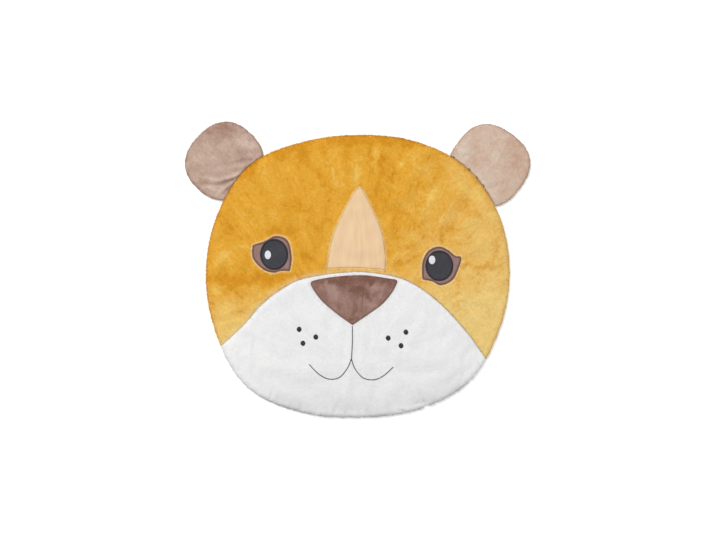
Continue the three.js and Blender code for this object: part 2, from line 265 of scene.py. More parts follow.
eyeSettings = {
    "left": {
        "centre": (-240, 43.5),
        "iris": (40.5, 44.5),
        "highlight": {"at": (-18, -1.5), "size": (9.0, 12.5)},
        "rim": [
            [(-62, 26), (-61, -10), (-34, -41), (-4, -52), (20, -47), (45, -47)],
            [(45, -47), (50, -5), (38, 41), (4, 53), (-27, 38), (-62, 26)],
        ],
    },
    "right": {
        "centre": (235, 11),
        "iris": (40, 44),
        "highlight": {"at": (-21, 16.5), "size": (9.3, 12.3)},
        "rim": [
            [(-48, -39), (-20, -45), (5, -56), (40, -38), (61, 10), (62, 26)],
            [(62, 26), (47, 28), (24, 46), (-1, 55), (-30, 44), (-47, 15), (-50, -20), (-48, -39)],
        ],
    },
}


def outlinePoints(edges, centre=(0, 0), spacing=2.6):
    ring = []
    for edge in edges:
        placed = [(x + centre[0], y + centre[1]) for x, y in edge]
        steps = max(2, round(lengthOf(curveThrough(placed, 40)) / spacing))
        ring.append(curveThrough(placed, steps)[:-1])
    return np.concatenate(ring)


sewnOutlines = {
    "blaze": outlinePoints(sewnSettings["blaze"]["edges"]),
    "nose": outlinePoints(sewnSettings["nose"]["edges"]),
    "left": outlinePoints(eyeSettings["left"]["rim"], eyeSettings["left"]["centre"], 2.2),
    "right": outlinePoints(eyeSettings["right"]["rim"], eyeSettings["right"]["centre"], 2.2),
}


def distanceToPoints(x, y, points):
    # distance in millimetres to the nearest of some places, and which of them it is
    flatX, flatY = np.ravel(x), np.ravel(y)
    nearest = np.empty(len(flatX))
    which = np.empty(len(flatX), int)
    for start in range(0, len(flatX), 4000):
        part = slice(start, start + 4000)
        gaps = np.hypot(flatX[part, None] - points[:, 0], flatY[part, None] - points[:, 1])
        which[part] = gaps.argmin(axis=1)
        nearest[part] = gaps.min(axis=1)
    return nearest.reshape(np.shape(x)), which.reshape(np.shape(x))


def distanceToSewn(x, y):
    return distanceToPoints(x, y, np.concatenate(list(sewnOutlines.values())))[0]


# Head outline: reach of the outer seam from the middle of the head, anticlockwise from +X.
headSettings = {
    "centre": (4.0, -8.0),
    "rimReaches": [433, 435, 431, 409, 395, 407, 439, 440, 440, 447, 461, 435, 417.5, 429, 446, 436],
    "waver": {"size": 0.7, "spacing": 47.0, "reach": 14.0},
    "bulge": {"size": 1.3, "from": 0.7, "reach": 3.0},
    "seamHeight": 4.5,
    "edgeRise": 5.0,
    "edgeWidth": 11.0,
    "crownRise": 5.5,
    "crownReach": 85.0,
    "underWidth": 8.0,
    "pucker": {"size": 0.9, "spacing": 30.0, "reach": 16.0, "from": 5.0},
    "swellsFrom": 18,
    "tucksFrom": 4,
}

# Muzzle seam, from the left rim to the right rim.
muzzleSettings = {
    "leftBearing": 208.2,
    "rightBearing": 325.7,
    "between": [
        (-326, -158), (-278, -103), (-219, -57), (-150, -25), (-10, -7),
        (100, -19), (170, -47), (243, -103), (317, -184),
    ],
    "valleyDepth": 1.3,
    "valleyWidth": 7.5,
    "creaseDepth": 1.4,
    "creaseWidth": 2.2,
    "tug": {"size": 0.45, "spacing": 26.0, "reach": 11.0, "from": 3.0},
    "gap": 0.3,
}

# Soft dips and rises of the filled pad
swells = namedRows(
    riseColumns,
    [
        ((150, -360), 60, 12, 128, -1.3),
        ((206, -350), 45, 14, 122, 1.0),
        ((118, -396), 34, 7, 8, -1.6),
        ((-45, -402), 40, 9, 175, -1.2),
        ((-150, -350), 70, 20, 160, -0.8),
        ((-250, 250), 90, 30, 130, 0.9),
        ((-120, 270), 80, 26, 100, -0.8),
        ((150, 280), 80, 28, 75, 0.8),
        ((290, 150), 90, 26, 60, -0.8),
        ((-340, -40), 80, 24, 95, 0.9),
        ((345, -90), 80, 24, 80, -0.7),
    ],
)

# Small tucks and puckers where the chin's outer seam pulls the cloth in
tucks = namedRows(
    riseColumns,
    [
        ((180, -358), 22, 6, 114, -2.8),
        ((193, -382), 12, 4.5, 124, -4.5),
        ((172, -385), 9, 2.8, 22, -3.2),
        ((184, -386), 8, 2.8, -32, -3.4),
        ((168, -364), 30, 9, 120, 2.6),
        ((156, -385), 14, 4, 128, -3.0),
        ((137, -368), 13, 5, 152, -1.6),
        ((208, -368), 26, 8, 118, 1.8),
        ((127, -407), 16, 3, -15, -3.0),
        ((118, -398), 24, 6, 6, 1.6),
        ((-31, -412), 11, 4, 80, -2.8),
        ((-44, -410), 13, 6, 84, 1.4),
        ((-76, -408), 16, 6, 86, 2.0),
        ((-64, -409), 11, 4, 76, -2.2),
        ((-247, -362), 14, 4.5, 70, -1.6),
        ((-236, -362), 18, 7, 75, 1.2),
        ((30, -411), 13, 5, 95, -1.5),
        ((-110, -322), 70, 9, 12, -0.8),
        ((120, -310), 60, 8, -25, 0.8),
        ((160, -296), 50, 7, -8, -0.8),
    ],
)
rimNotches = namedRows(
    ("at", "depth", "width"),
    [
        ((197, -393), 4.6, 7.0),
        ((178, -400), -1.4, 9.0),
        ((108, -414), 1.4, 12.0),
        ((-31, -425), 1.2, 7.0),
        ((-66, -424), 1.2, 9.0),
        ((-98, -413), -1.2, 16.0),
    ],
)


def rimReach(bearing):
    # millimetres from the head's middle to its outer seam, bearing in radians
    reaches = np.array(headSettings["rimReaches"], float)
    count = len(reaches)
    place = (np.asarray(bearing, float) / (2 * math.pi)) % 1 * count
    first = np.floor(place).astype(int)
    t = place - first
    a, b, c, d = (reaches[(first + step) % count] for step in (-1, 0, 1, 2))
    return smoothBetween(a, b, c, d, t)


def rimPoint(bearing):
    cx, cy = headSettings["centre"]
    reach = rimReach(bearing)
    return np.stack([cx + reach * np.cos(bearing), cy + reach * np.sin(bearing)], axis=-1)


def bearingInHead(x, y):
    cx, cy = headSettings["centre"]
    return np.arctan2(y - cy, x - cx)


def depthInHead(x, y):
    # millimetres inside the outer seam, below zero outside it
    cx, cy = headSettings["centre"]
    return rimReach(bearingInHead(x, y)) - np.hypot(x - cx, y - cy)


def alongRim(x, y):
    bearing = bearingInHead(x, y)
    return bearing * rimReach(bearing)


seamEnds = [rimPoint(np.radians(muzzleSettings[key])) for key in ("leftBearing", "rightBearing")]
seamDense = curveThrough([seamEnds[0], *muzzleSettings["between"], seamEnds[1]], 700)


def distanceToSeam(x, y):
    # distance in millimetres, and how far along the seam the nearest place lies
    nearest, which = distanceToPoints(x, y, seamDense)
    return nearest, which * lengthOf(seamDense) / (len(seamDense) - 1)


def roundedEdge(depth, width):
    return np.sqrt(1 - (1 - clamp01(depth / width)) ** 2)


def inMark(x, y, mark):
    # a place in a mark's own turned frame, as shares of its half sizes
    turn = math.radians(mark["bearing"])
    dx, dy = x - mark["at"][0], y - mark["at"][1]
    u = (dx * math.cos(turn) + dy * math.sin(turn)) / mark["along"]
    v = (dy * math.cos(turn) - dx * math.sin(turn)) / mark["across"]
    return u, v


def swellAt(x, y, marks):
    height = np.zeros(np.shape(x))
    for swell in marks:
        u, v = inMark(x, y, swell)
        height += swell["rise"] * np.exp(-(u**2) - v**2)
    return height


def gathered(gather, place, away, seed, depth=None):
    # small waves along a seam that die away from it and start a little inside it
    start = away if depth is None else depth
    height = gather["size"] * wavesAlong(place, gather["spacing"], seed)
    return height * np.exp(-away / gather["reach"]) * clamp01(start / gather["from"])


def padTop(x, y):
    # height in millimetres of the filled face above the floor
    h, m, s = headSettings, muzzleSettings, sewnSettings
    depth = np.maximum(0, depthInHead(x, y))
    toSeam, alongSeam = distanceToSeam(x, y)
    valley = m["valleyDepth"] * np.exp(-((toSeam / m["valleyWidth"]) ** 2))
    crease = m["creaseDepth"] * np.exp(-toSeam / m["creaseWidth"])
    tug = gathered(m["tug"], alongSeam, toSeam, 4.0)
    return (
        h["seamHeight"]
        + h["edgeRise"] * roundedEdge(depth, h["edgeWidth"])
        + h["crownRise"] * (1 - np.exp(-depth / h["crownReach"]))
        + (swellAt(x, y, swells) - valley - crease + tug) * clamp01(depth / h["swellsFrom"])
        + swellAt(x, y, tucks) * clamp01(depth / h["tucksFrom"])
        + gathered(h["pucker"], alongRim(x, y), depth, 1.0)
        - s["grooveDepth"] * np.exp(-((distanceToSewn(x, y) / s["grooveWidth"]) ** 2))
    )


def padUnder(x, y):
    depth = np.maximum(0, depthInHead(x, y))
    return headSettings["seamHeight"] * (1 - roundedEdge(depth, headSettings["underWidth"]))


def bulgeAt(bulge, depth):
    return bulge["size"] * (1 - np.exp(-depth / bulge["from"])) * np.exp(-depth / bulge["reach"])


def bulgeRim(x, y):
    # the cloth swells out a little above and below the outer seam, and the outline wavers
    waver = headSettings["waver"]
    depth = np.maximum(0, depthInHead(x, y))
    bearing = bearingInHead(x, y)
    out = bulgeAt(headSettings["bulge"], depth)
    wave = waver["size"] * wavesAlong(alongRim(x, y), waver["spacing"], 2.0)
    out = out + wave * np.exp(-depth / waver["reach"])
    for notch in rimNotches:
        away = np.hypot(x - notch["at"][0], y - notch["at"][1])
        out = out - notch["depth"] * np.exp(-((away / notch["width"]) ** 2))
    return x + out * np.cos(bearing), y + out * np.sin(bearing)


# Panels of the pad: a grid of lines from the muzzle seam to the outer seam.
panelSettings = {
    "nearSeam": [0, 1.2, 2.6, 4.4, 6.8, 10, 14, 19],
    "nearRim": [0, 0.3, 0.8, 1.6, 2.8, 4.4, 6.6, 9.4, 13, 18, 24],
    "underSeam": [0, 8, 24],
    "underRim": [0, 0.4, 1.2, 2.6, 4.6, 8, 14],
    "head": {"columns": 250, "topRows": 46, "underRows": 8},
    "muzzle": {"columns": 290, "topRows": 30, "underRows": 6},
}


def placesAcross(length, nearStart, nearEnd, between):
    # places along a line as shares of its length, close together near both ends
    squeeze = min(1.0, 0.8 * length / (nearStart[-1] + nearEnd[-1]))
    start = [distance * squeeze for distance in nearStart]
    end = [length - distance * squeeze for distance in reversed(nearEnd)]
    inner = np.linspace(start[-1], end[0], between + 2)[1:-1]
    return np.array([*start, *inner, *end]) / max(length, 1e-9)


def panelLayer(low, high, nearLow, nearHigh, between, height):
    rows = np.array([
        placesAcross(float(np.hypot(*(b - a))), nearLow, nearHigh, between) for a, b in zip(low, high)
    ])
    x = low[:, :1] + (high - low)[:, :1] * rows
    y = low[:, 1:] + (high - low)[:, 1:] * rows
    z = height(x, y)
    x, y = bulgeRim(x, y)
    return np.stack([x, y, z], axis=-1)


def panelPiece(name, low, high, seamIsLow, size):
    p = panelSettings
    near = (p["nearSeam"], p["nearRim"]) if seamIsLow else (p["nearRim"], p["nearSeam"])
    under = (p["underSeam"], p["underRim"]) if seamIsLow else (p["underRim"], p["underSeam"])
    top = panelLayer(low, high, *near, size["topRows"], padTop)
    bottom = panelLayer(low, high, *under, size["underRows"], padUnder)
    columns, topRows, underRows = top.shape[0], top.shape[1], bottom.shape[1]
    places = np.concatenate([top.reshape(-1, 3), bottom.reshape(-1, 3)]) * mm
    base = columns * topRows
    faces = []
    for i in range(columns - 1):
        a, b = i * topRows, (i + 1) * topRows
        c, d = base + i * underRows, base + (i + 1) * underRows
        faces += [(a + j, b + j, b + j + 1, a + j + 1) for j in range(topRows - 1)]
        faces += [(c + j, c + j + 1, d + j + 1, d + j) for j in range(underRows - 1)]
        faces.append((c, d, b, a))
        faces.append((a + topRows - 1, b + topRows - 1, d + underRows - 1, c + underRows - 1))
    return meshObject(name, places, faces)


def seamBeside(offset, columns):
    line = curveThrough(seamDense, columns)
    run = np.gradient(line, axis=0)
    run /= np.linalg.norm(run, axis=1)[:, None]
    return line + offset * np.column_stack([-run[:, 1], run[:, 0]])


def rimBetween(start, end, tips):
    bearings = np.radians(np.linspace(start, end, len(tips)))
    points = rimPoint(bearings)
    points[0], points[-1] = tips[0], tips[-1]
    return points


# Cloth over the filling: a little too much cloth, pressed out and held where it is sewn down.
clothSettings = {
    "frames": 20,
    "quality": 6,
    "mass": 0.3,
    "tension": 15.0,
    "bending": 6.0,
    "pressure": 0.3,
    "extraCloth": 0.02,
    "airDamping": 2.0,
    "heldInside": 0.1,
    "holdStrength": 2.0,
    "heldBelow": 6.0,
    "heldAtRim": 4.0,
    "heldBesideSeams": 2.5,
    "share": 0.36,
    "mostMove": 3.0,
    "smoothing": 3,
}


def placesOf(piece):
    flat = np.empty(len(piece.data.vertices) * 3)
    piece.data.vertices.foreach_get("co", flat)
    return flat.reshape(-1, 3)


def settleCloth(piece, held):
    # runs the cloth, then keeps a share of how far it moved, evened out and capped
    c = clothSettings
    before = placesOf(piece)
    group = piece.vertex_groups.new(name="held")
    for index, weight in enumerate(held):
        group.add([index], float(weight), "REPLACE")
    cloth = piece.modifiers.new("cloth", "CLOTH")
    settings = cloth.settings
    settings.quality = c["quality"]
    settings.mass = c["mass"]
    settings.tension_stiffness = settings.compression_stiffness = c["tension"]
    settings.shear_stiffness = c["tension"] / 3
    settings.bending_stiffness = c["bending"]
    settings.air_damping = c["airDamping"]
    settings.use_pressure = True
    settings.uniform_pressure_force = c["pressure"]
    settings.shrink_min = -c["extraCloth"]
    settings.vertex_group_mass = "held"
    settings.pin_stiffness = c["holdStrength"]
    settings.effector_weights.gravity = 0
    cloth.collision_settings.use_collision = False
    cloth.collision_settings.use_self_collision = False
    cloth.point_cache.frame_start = 1
    cloth.point_cache.frame_end = c["frames"]
    for number in range(1, c["frames"] + 1):
        bpy.context.scene.frame_set(number)
    applyModifiers(piece)
    bpy.context.scene.frame_set(1)
    piece.vertex_groups.clear()
    moved = placesOf(piece) - before
    ends = np.empty(len(piece.data.edges) * 2, int)
    piece.data.edges.foreach_get("vertices", ends)
    ends = ends.reshape(-1, 2)
    neighbours = np.bincount(ends.ravel(), minlength=len(before))[:, None]
    for _ in range(c["smoothing"]):
        total = np.zeros_like(moved)
        np.add.at(total, ends[:, 0], moved[ends[:, 1]])
        np.add.at(total, ends[:, 1], moved[ends[:, 0]])
        moved = 0.5 * moved + 0.5 * total / neighbours
    moved *= c["share"] * (held < 1)[:, None]
    far = np.linalg.norm(moved, axis=1)[:, None]
    moved *= np.minimum(1, c["mostMove"] * mm / np.maximum(far, 1e-9))
    piece.data.vertices.foreach_set("co", (before + moved).ravel())
    piece.data.update()


def heldOnFace(x, y, z):
    c = clothSettings
    beside = c["heldBesideSeams"]
    sewnDown = (z < c["heldBelow"]) | (depthInHead(x, y) < c["heldAtRim"])
    sewnDown |= (distanceToSeam(x, y)[0] < beside) | (distanceToSewn(x, y) < beside)
    return np.where(sewnDown, 1.0, c["heldInside"])


def refine(piece):
    smooth = piece.modifiers.new("finer", "SUBSURF")
    smooth.levels = smooth.render_levels = 1
    applyModifiers(piece)


def makePanels():
    m, p = muzzleSettings, panelSettings
    seam = seamBeside(m["gap"] / 2, p["head"]["columns"])
    rim = rimBetween(m["leftBearing"], m["rightBearing"] - 360, seam)
    head = panelPiece("headPlush", seam, rim, True, p["head"])
    seam = seamBeside(-m["gap"] / 2, p["muzzle"]["columns"])
    rim = rimBetween(m["leftBearing"], m["rightBearing"], seam)
    muzzle = panelPiece("muzzlePlush", rim, seam, False, p["muzzle"])
    for piece in (head, muzzle):
        settleCloth(piece, heldOnFace(*(placesOf(piece).T / mm)))
        refine(piece)
    return head, muzzle


headPlush, muzzlePlush = makePanels()
print("pad made:", len(headPlush.data.polygons), len(muzzlePlush.data.polygons))

# Brush marks in the yellow pile: tone below zero is deeper, above zero paler.
brushMarks = namedRows(
    toneColumns,
    [
        ((-378, -30), 40, 19, -14, -1.0),
        ((-300, -26), 60, 20, 4, -1.0),
        ((-214, -24), 44, 15, 10, -0.7),
        ((-335, -112), 26, 19, 60, -0.65),
        ((-272, -120), 40, 12, 38, -0.5),
        ((-404, -62), 30, 14, 100, 1.0),
        ((-384, -122), 34, 20, 70, 0.8),
        ((-237, -54), 26, 11, 20, 0.7),
        ((-383, 42), 30, 20, 80, 0.6),
        ((-350, -182), 56, 30, 40, 0.7),
        ((-292, -84), 40, 9, 30, 0.6),
        ((-316, 22), 44, 11, 65, -0.7),
        ((-137, 33), 34, 9, -30, -0.8),
        ((-166, -16), 30, 10, 95, -0.5),
        ((-215, 176), 46, 28, 20, -0.4),
        ((-131, 295), 80, 13, -47, -0.7),
        ((-195, 344), 60, 16, 20, -0.8),
        ((-310, 285), 60, 16, 48, -0.7),
        ((-385, 114), 60, 22, 72, -0.4),
        ((-238, 108), 54, 12, 0, -0.6),
        ((-60, 370), 110, 16, 2, -0.7),
        ((90, 368), 110, 18, -4, -0.9),
        ((-33, 340), 34, 9, 92, -0.5),
        ((-8, 292), 50, 15, 88, 0.7),
        ((36, 318), 54, 8, 90, -0.7),
        ((54, 300), 44, 9, 88, 0.6),
        ((68, 314), 32, 8, 95, -0.8),
        ((98, 256), 54, 11, 84, -0.6),
        ((86, 196), 40, 9, 70, -0.4),
        ((130, 300), 40, 12, 70, 0.4),
        ((237, 122), 40, 7, 92, -0.35),
        ((108, 122), 30, 12, 90, -0.5),
        ((200, 190), 60, 14, 55, 0.5),
        ((160, 150), 50, 10, 60, -0.3),
        ((300, 230), 60, 20, 50, 0.4),
        ((408, 96), 50, 12, 80, -0.4),
        ((345, 8), 70, 9, -3, -0.85),
        ((138, 22), 38, 8, 20, -0.8),
        ((126, 46), 50, 6, 25, 0.6),
        ((330, -30), 60, 7, -6, -0.4),
        ((376, -82), 50, 7, 4, 0.5),
        ((300, -60), 40, 8, -20, 0.4),
    ],
)

noseMarks = namedRows(
    toneColumns,
    [
        ((-62, -31), 70, 12, 4, -1.0),
        ((56, -30), 66, 12, -4, -1.0),
        ((-6, -54), 40, 14, -14, -0.8),
        ((22, -78), 24, 6, -14, -0.8),
        ((-12, -112), 26, 7, 78, -0.5),
        ((-14, -142), 18, 5, 14, -0.9),
        ((-74, -62), 34, 16, -38, 0.9),
        ((-34, -96), 20, 9, 76, 0.5),
        ((48, -54), 32, 9, -6, 0.8),
        ((46, -96), 28, 12, 36, 0.8),
    ],
)


def brushedTone(x, y, marks):
    # marks with ragged edges, from wandering the places before they are looked up
    wanderX = x + 7 * ripple(y / 9.0, 1.3) + 4 * ripple((x + y) / 5.0, 2.1)
    wanderY = y + 7 * ripple(x / 8.0, 3.7) + 4 * ripple((x - y) / 6.0, 0.4)
    tone = np.zeros(np.shape(x))
    for mark in marks:
        u, v = inMark(wanderX, wanderY, mark)
        tone += mark["tone"] * np.exp(-((u**2 + v**2) ** 1.3))
    return np.clip(tone, -1, 1)


def paintPiece(piece, **shares):
    # one number per point of the mesh, for the materials to read
    for name, values in shares.items():
        layer = piece.data.attributes.new(name, "FLOAT", "POINT")
        layer.data.foreach_set("value", np.asarray(values, float))


# Thin dark lines in the yellow: painted shadow and crease shade beside the blaze, and the stitch above its
# tip
darkLines = namedRows(
    ("path", "shade"),
    [
        ([(10, 247), (11, 238), (14, 230)], 1.0),
        ([(15, 231), (38, 184), (68, 116), (80, 46), (80, -10)], 0.75),
        ([(-88, 30), (-89, 4), (-90, -14)], 0.6),
        ([(-88, 30), (-78, 72), (-57, 133)], 0.25),
    ],
)


# Shade painted on the pile, widths in millimetres: a dark line in the outer seam, a muzzle seam that opens
# the pile on its left, with a pale band there that is partly painted light, and closes to a dark line on its
# right, and a soft grey round the chin; also painted shadow beside the blaze and painted shade in the tucks.
shadeSettings = {
    "rimWidth": 2.2,
    "yellowRim": 0.65,
    "whiteRim": {"high": 0.2, "low": 1.0, "from": -300, "over": 60},
    "seamWidth": 1.6,
    "seamShade": 0.8,
    "seamClosesFrom": 20,
    "seamClosesOver": 230,
    # pale band beside the left half of the muzzle seam, partly painted light
    "openLitWidth": 10.0,
    "openLitShare": 0.88,
    "chinShade": 0.5,
    "chinReach": 45.0,
    "chinBearings": (222, 247, 308, 322),
    "darkLineWidth": 1.9,
    "tuckDepth": 6,
    "tuckLeast": 0.1,
    "partedBeside": {"at": 2.8, "width": 2.0},
}


def fadeFrom(distance, width):
    # one at no distance, fading like a bell
    return np.exp(-((distance / width) ** 2))


def faceShade(piece, x, y, toSeam, closed):
    s = shadeSettings
    depth = np.maximum(0, depthInHead(x, y))
    rim = s["yellowRim"]
    if piece is muzzlePlush:
        white = s["whiteRim"]
        rim = white["high"] + (white["low"] - white["high"]) * smoothStep((white["from"] - y) / white["over"])
    # painted shade: a dark line in the outer seam, and along the muzzle seam where it closes
    shade = rim * fadeFrom(depth, s["rimWidth"]) + s["seamShade"] * closed * fadeFrom(toSeam, s["seamWidth"])
    # painted shade, soft and grey, round the chin
    if piece is muzzlePlush:
        bearing = np.degrees(bearingInHead(x, y)) % 360
        starts, full, wanes, ends = s["chinBearings"]
        chin = smoothStep((bearing - starts) / (full - starts))
        chin = chin * smoothStep((ends - bearing) / (ends - wanes))
        shade = shade + s["chinShade"] * chin * np.exp(-depth / s["chinReach"])
    # painted shadow and crease shade in thin lines beside the blaze
    if piece is headPlush:
        for line in darkLines:
            away = distanceToPoints(x, y, curveThrough(line["path"], 60))[0]
            shade = shade + line["shade"] * fadeFrom(away, s["darkLineWidth"])
    # painted shade in the creases of the tucks
    inTucks = -swellAt(x, y, tucks) / s["tuckDepth"] - s["tuckLeast"]
    return clamp01(np.maximum(shade, inTucks))


def paintFace(piece):
    s = shadeSettings
    x, y, _ = placesOf(piece).T / mm
    toSeam, alongSeam = distanceToSeam(x, y)
    closed = smoothStep((x - s["seamClosesFrom"]) / s["seamClosesOver"])
    # painted light, in part: a pale band along the left half of the muzzle seam, where the pile opens,
    # lifting the shade of the seam's valley
    openedAndLit = s["openLitShare"] * (1 - closed) * fadeFrom(toSeam, s["openLitWidth"])
    openedAndLit = openedAndLit * clamp01(0.85 + 0.3 * ripple(alongSeam / 9.0, 2.0))
    beside = s["partedBeside"]
    parted = np.maximum(fadeFrom(distanceToSewn(x, y) - beside["at"], beside["width"]), openedAndLit)
    shade = faceShade(piece, x, y, toSeam, closed)
    paintPiece(piece, brushed=brushedTone(x, y, brushMarks), seamShade=shade, parted=parted)


paintFace(headPlush)
paintFace(muzzlePlush)


# Ears: two flat lobes whose roots are caught in the outer seam.
earSettings = {
    "left": {
        "at": (-384, 312.5), "halfLong": 110, "halfWide": 103,
        "bearing": 47, "squareness": 2.39, "seed": 5.0,
    },
    "right": {
        "at": (378, 300), "halfLong": 111, "halfWide": 111,
        "bearing": 54, "squareness": 2.51, "seed": 9.0,
    },
    "seamHeight": 4.5,
    "edgeRise": 2.6,
    "edgeWidth": 8.0,
    "crownRise": 3.0,
    "crownReach": 40.0,
    "underWidth": 8.0,
    "gap": 0.3,
    "steps": 240,
    "pucker": {"size": 1.1, "spacing": 34.0, "reach": 16.0, "from": 5.0},
    "bulge": {"size": 1.0, "from": 0.7, "reach": 3.0},
    "waver": {"size": 0.6, "pitch": 17.0, "reach": 10.0},
    "foldsFrom": 10,
    "freeFrom": 12.0,
    "heldMiddle": 75,
    "heldBelow": 5.2,
    "heldAtRim": 3.0,
    "rootShade": 0.3,
    "rootShadeWidth": 4.0,
    "foldShadeDepth": 5,
    "ridgeHighlightTone": 0.9,
    "ridgeHeight": 4,
    "topInsets": [0, 0.4, 1.0, 2.0, 3.4, 5.2, 7.6],
    "underInsets": [14.0, 8.0, 4.8, 2.6, 1.2, 0.4],
    "topRows": 40,
    "underRows": 4,
}
earFolds = namedRows(
    ("ear", "path", "width", "rise"),
    [
        ("left", [(-292, 310), (-322, 314), (-370, 300)], 6, -3.4),
        ("left", [(-305, 298), (-345, 297), (-400, 286)], 10, 2.6),
        ("left", [(-330, 273), (-360, 266), (-400, 258), (-440, 264)], 6.5, 5.2),
        ("left", [(-336, 266), (-367, 254), (-400, 245), (-452, 246)], 5, -5.4),
        ("left", [(-350, 252), (-382, 234), (-408, 210)], 6.5, 4.2),
        ("left", [(-362, 236), (-378, 222), (-388, 205)], 5, -3.8),
        ("left", [(-412, 226), (-430, 236), (-450, 230)], 5, 3.0),
        ("left", [(-290, 338), (-320, 337), (-352, 330)], 8, -1.8),
        ("left", [(-300, 352), (-335, 356), (-372, 350)], 14, 1.1),
        ("left", [(-380, 300), (-400, 292), (-430, 296)], 9, -0.8),
        ("right", [(300, 318), (326, 336), (352, 352)], 10, -1.2),
        ("right", [(338, 268), (366, 284), (392, 298)], 11, 1.2),
        ("right", [(372, 232), (402, 244), (430, 252)], 9, -1.4),
        ("right", [(420, 330), (446, 322), (468, 300)], 13, -0.9),
        ("right", [(360, 380), (390, 372), (424, 376)], 11, 0.8),
    ],
)

earMarks = namedRows(
    toneColumns,
    [
        ((-392, 398), 60, 24, 8, -0.9),
        ((-322, 362), 34, 22, -35, 0.7),
        ((-420, 300), 40, 34, 70, 0.15),
        ((-400, 222), 40, 16, -40, 0.5),
        ((308, 338), 60, 22, 72, 0.8),
        ((350, 258), 60, 16, -42, 0.5),
        ((392, 330), 34, 18, -50, 0.45),
        ((462, 318), 70, 22, -76, -0.8),
        ((340, 392), 30, 13, 20, -0.4),
        ((346, 312), 22, 13, -20, -0.5),
        ((420, 222), 40, 14, 55, -0.35),
    ],
)


def lobeReach(ear, bearing):
    turn = bearing - math.radians(ear["bearing"])
    long = np.abs(np.cos(turn) / ear["halfLong"]) ** ear["squareness"]
    wide = np.abs(np.sin(turn) / ear["halfWide"]) ** ear["squareness"]
    return (long + wide) ** (-1 / ear["squareness"])


def earReach(ear, bearing):
    # reach of the ear's edge: its own lobe, or the head's outer seam where that comes first
    gap = earSettings["gap"]
    ex, ey = ear["at"]
    reach = lobeReach(ear, bearing)
    caught = depthInHead(ex + reach * np.cos(bearing), ey + reach * np.sin(bearing)) > -gap
    inside, outside = reach.copy(), np.zeros_like(reach)
    for _ in range(26):
        middle = (inside + outside) / 2
        deep = depthInHead(ex + middle * np.cos(bearing), ey + middle * np.sin(bearing)) > -gap
        inside = np.where(deep, middle, inside)
        outside = np.where(deep, outside, middle)
    return np.where(caught, outside, reach)


def foldHeight(side, x, y):
    height = np.zeros(np.shape(x))
    for fold in (f for f in earFolds if f["ear"] == side):
        path = curveThrough(fold["path"], 60)
        away, which = distanceToPoints(x, y, path)
        height += fold["rise"] * np.exp(-((away / fold["width"]) ** 2)) * (1 - 0.6 * which / 60)
    return height


def depthInEar(side, x, y):
    # millimetres inside the ear's free edge, and outside the head's seam
    ear = earSettings[side]
    dx, dy = x - ear["at"][0], y - ear["at"][1]
    free = lobeReach(ear, np.arctan2(dy, dx)) - np.hypot(dx, dy)
    return free, -earSettings["gap"] - depthInHead(x, y)


def earDepths(side, x, y):
    free, root = depthInEar(side, x, y)
    return np.maximum(0, np.minimum(free, root)), np.maximum(0, root)


def earTop(side, x, y):
    e = earSettings
    depth, root = earDepths(side, x, y)
    return (
        e["seamHeight"]
        + e["edgeRise"] * roundedEdge(depth, e["edgeWidth"])
        + e["crownRise"] * (1 - np.exp(-depth / e["crownReach"]))
        + foldHeight(side, x, y) * clamp01(depth / e["foldsFrom"])
        + gathered(e["pucker"], alongRim(x, y), root, 6.0, depth)
    )


def earUnder(side, x, y):
    depth, _ = earDepths(side, x, y)
    return earSettings["seamHeight"] * (1 - roundedEdge(depth, earSettings["underWidth"]))


def paintEar(side, piece, x, y):
    e = earSettings
    depth, root = earDepths(side, x, y)
    folds = foldHeight(side, x, y)
    inner = clamp01(depth / e["foldsFrom"])
    # painted shade at the ear's edge, along its root and in the fold creases
    shade = fadeFrom(depth, shadeSettings["rimWidth"]) + e["rootShade"] * fadeFrom(root, e["rootShadeWidth"])
    shade = np.maximum(clamp01(shade), clamp01(-folds / e["foldShadeDepth"]) * inner)
    # painted highlight: the tops of the folds drawn paler, as lit ridges
    ridgeHighlight = e["ridgeHighlightTone"] * clamp01(folds / e["ridgeHeight"]) * inner
    brushed = np.clip(brushedTone(x, y, earMarks) + ridgeHighlight, -1, 1)
    paintPiece(piece, brushed=brushed, seamShade=shade, parted=np.zeros(len(x)))


def earPiece(side):
    e, ear = earSettings, earSettings[side]
    ex, ey = ear["at"]
    bearing = np.linspace(0, 2 * math.pi, e["steps"], endpoint=False)
    reach = earReach(ear, bearing)
    waver = e["waver"]["size"] * ripple(bearing * e["waver"]["pitch"], ear["seed"])
    rows = [(0, share, earUnder) for share in np.linspace(1, 0.4, e["underRows"])]
    rows += [(inset, 0, earUnder) for inset in e["underInsets"]]
    rows += [(inset, 0, earTop) for inset in e["topInsets"]]
    rows += [(e["topInsets"][-1], share, earTop) for share in np.linspace(0, 1, e["topRows"])[1:]]
    rings = []
    for inset, share, height in rows:
        way = wayIn(reach, inset, share)
        x, y = ex + reach * (1 - way) * np.cos(bearing), ey + reach * (1 - way) * np.sin(bearing)
        z = height(side, x, y)
        depth, root = earDepths(side, x, y)
        out = bulgeAt(e["bulge"], depth) + waver * np.exp(-depth / e["waver"]["reach"])
        out = clamp01(root / e["freeFrom"]) * out
        rings.append(np.column_stack([x + out * np.cos(bearing), y + out * np.sin(bearing), z]))
    piece = ringPiece("earPlush" + side.capitalize(), rings)
    x, y, z = placesOf(piece).T / mm
    # held near its middle too, where the rings meet
    depth, _ = earDepths(side, x, y)
    held = 1 - smoothStep(np.hypot(x - ex, y - ey) / e["heldMiddle"])
    held = np.maximum(clothSettings["heldInside"], held)
    sewnDown = (z < e["heldBelow"]) | (depth < e["heldAtRim"])
    settleCloth(piece, np.where(sewnDown, 1.0, held))
    paintEar(side, piece, x, y)
    return piece


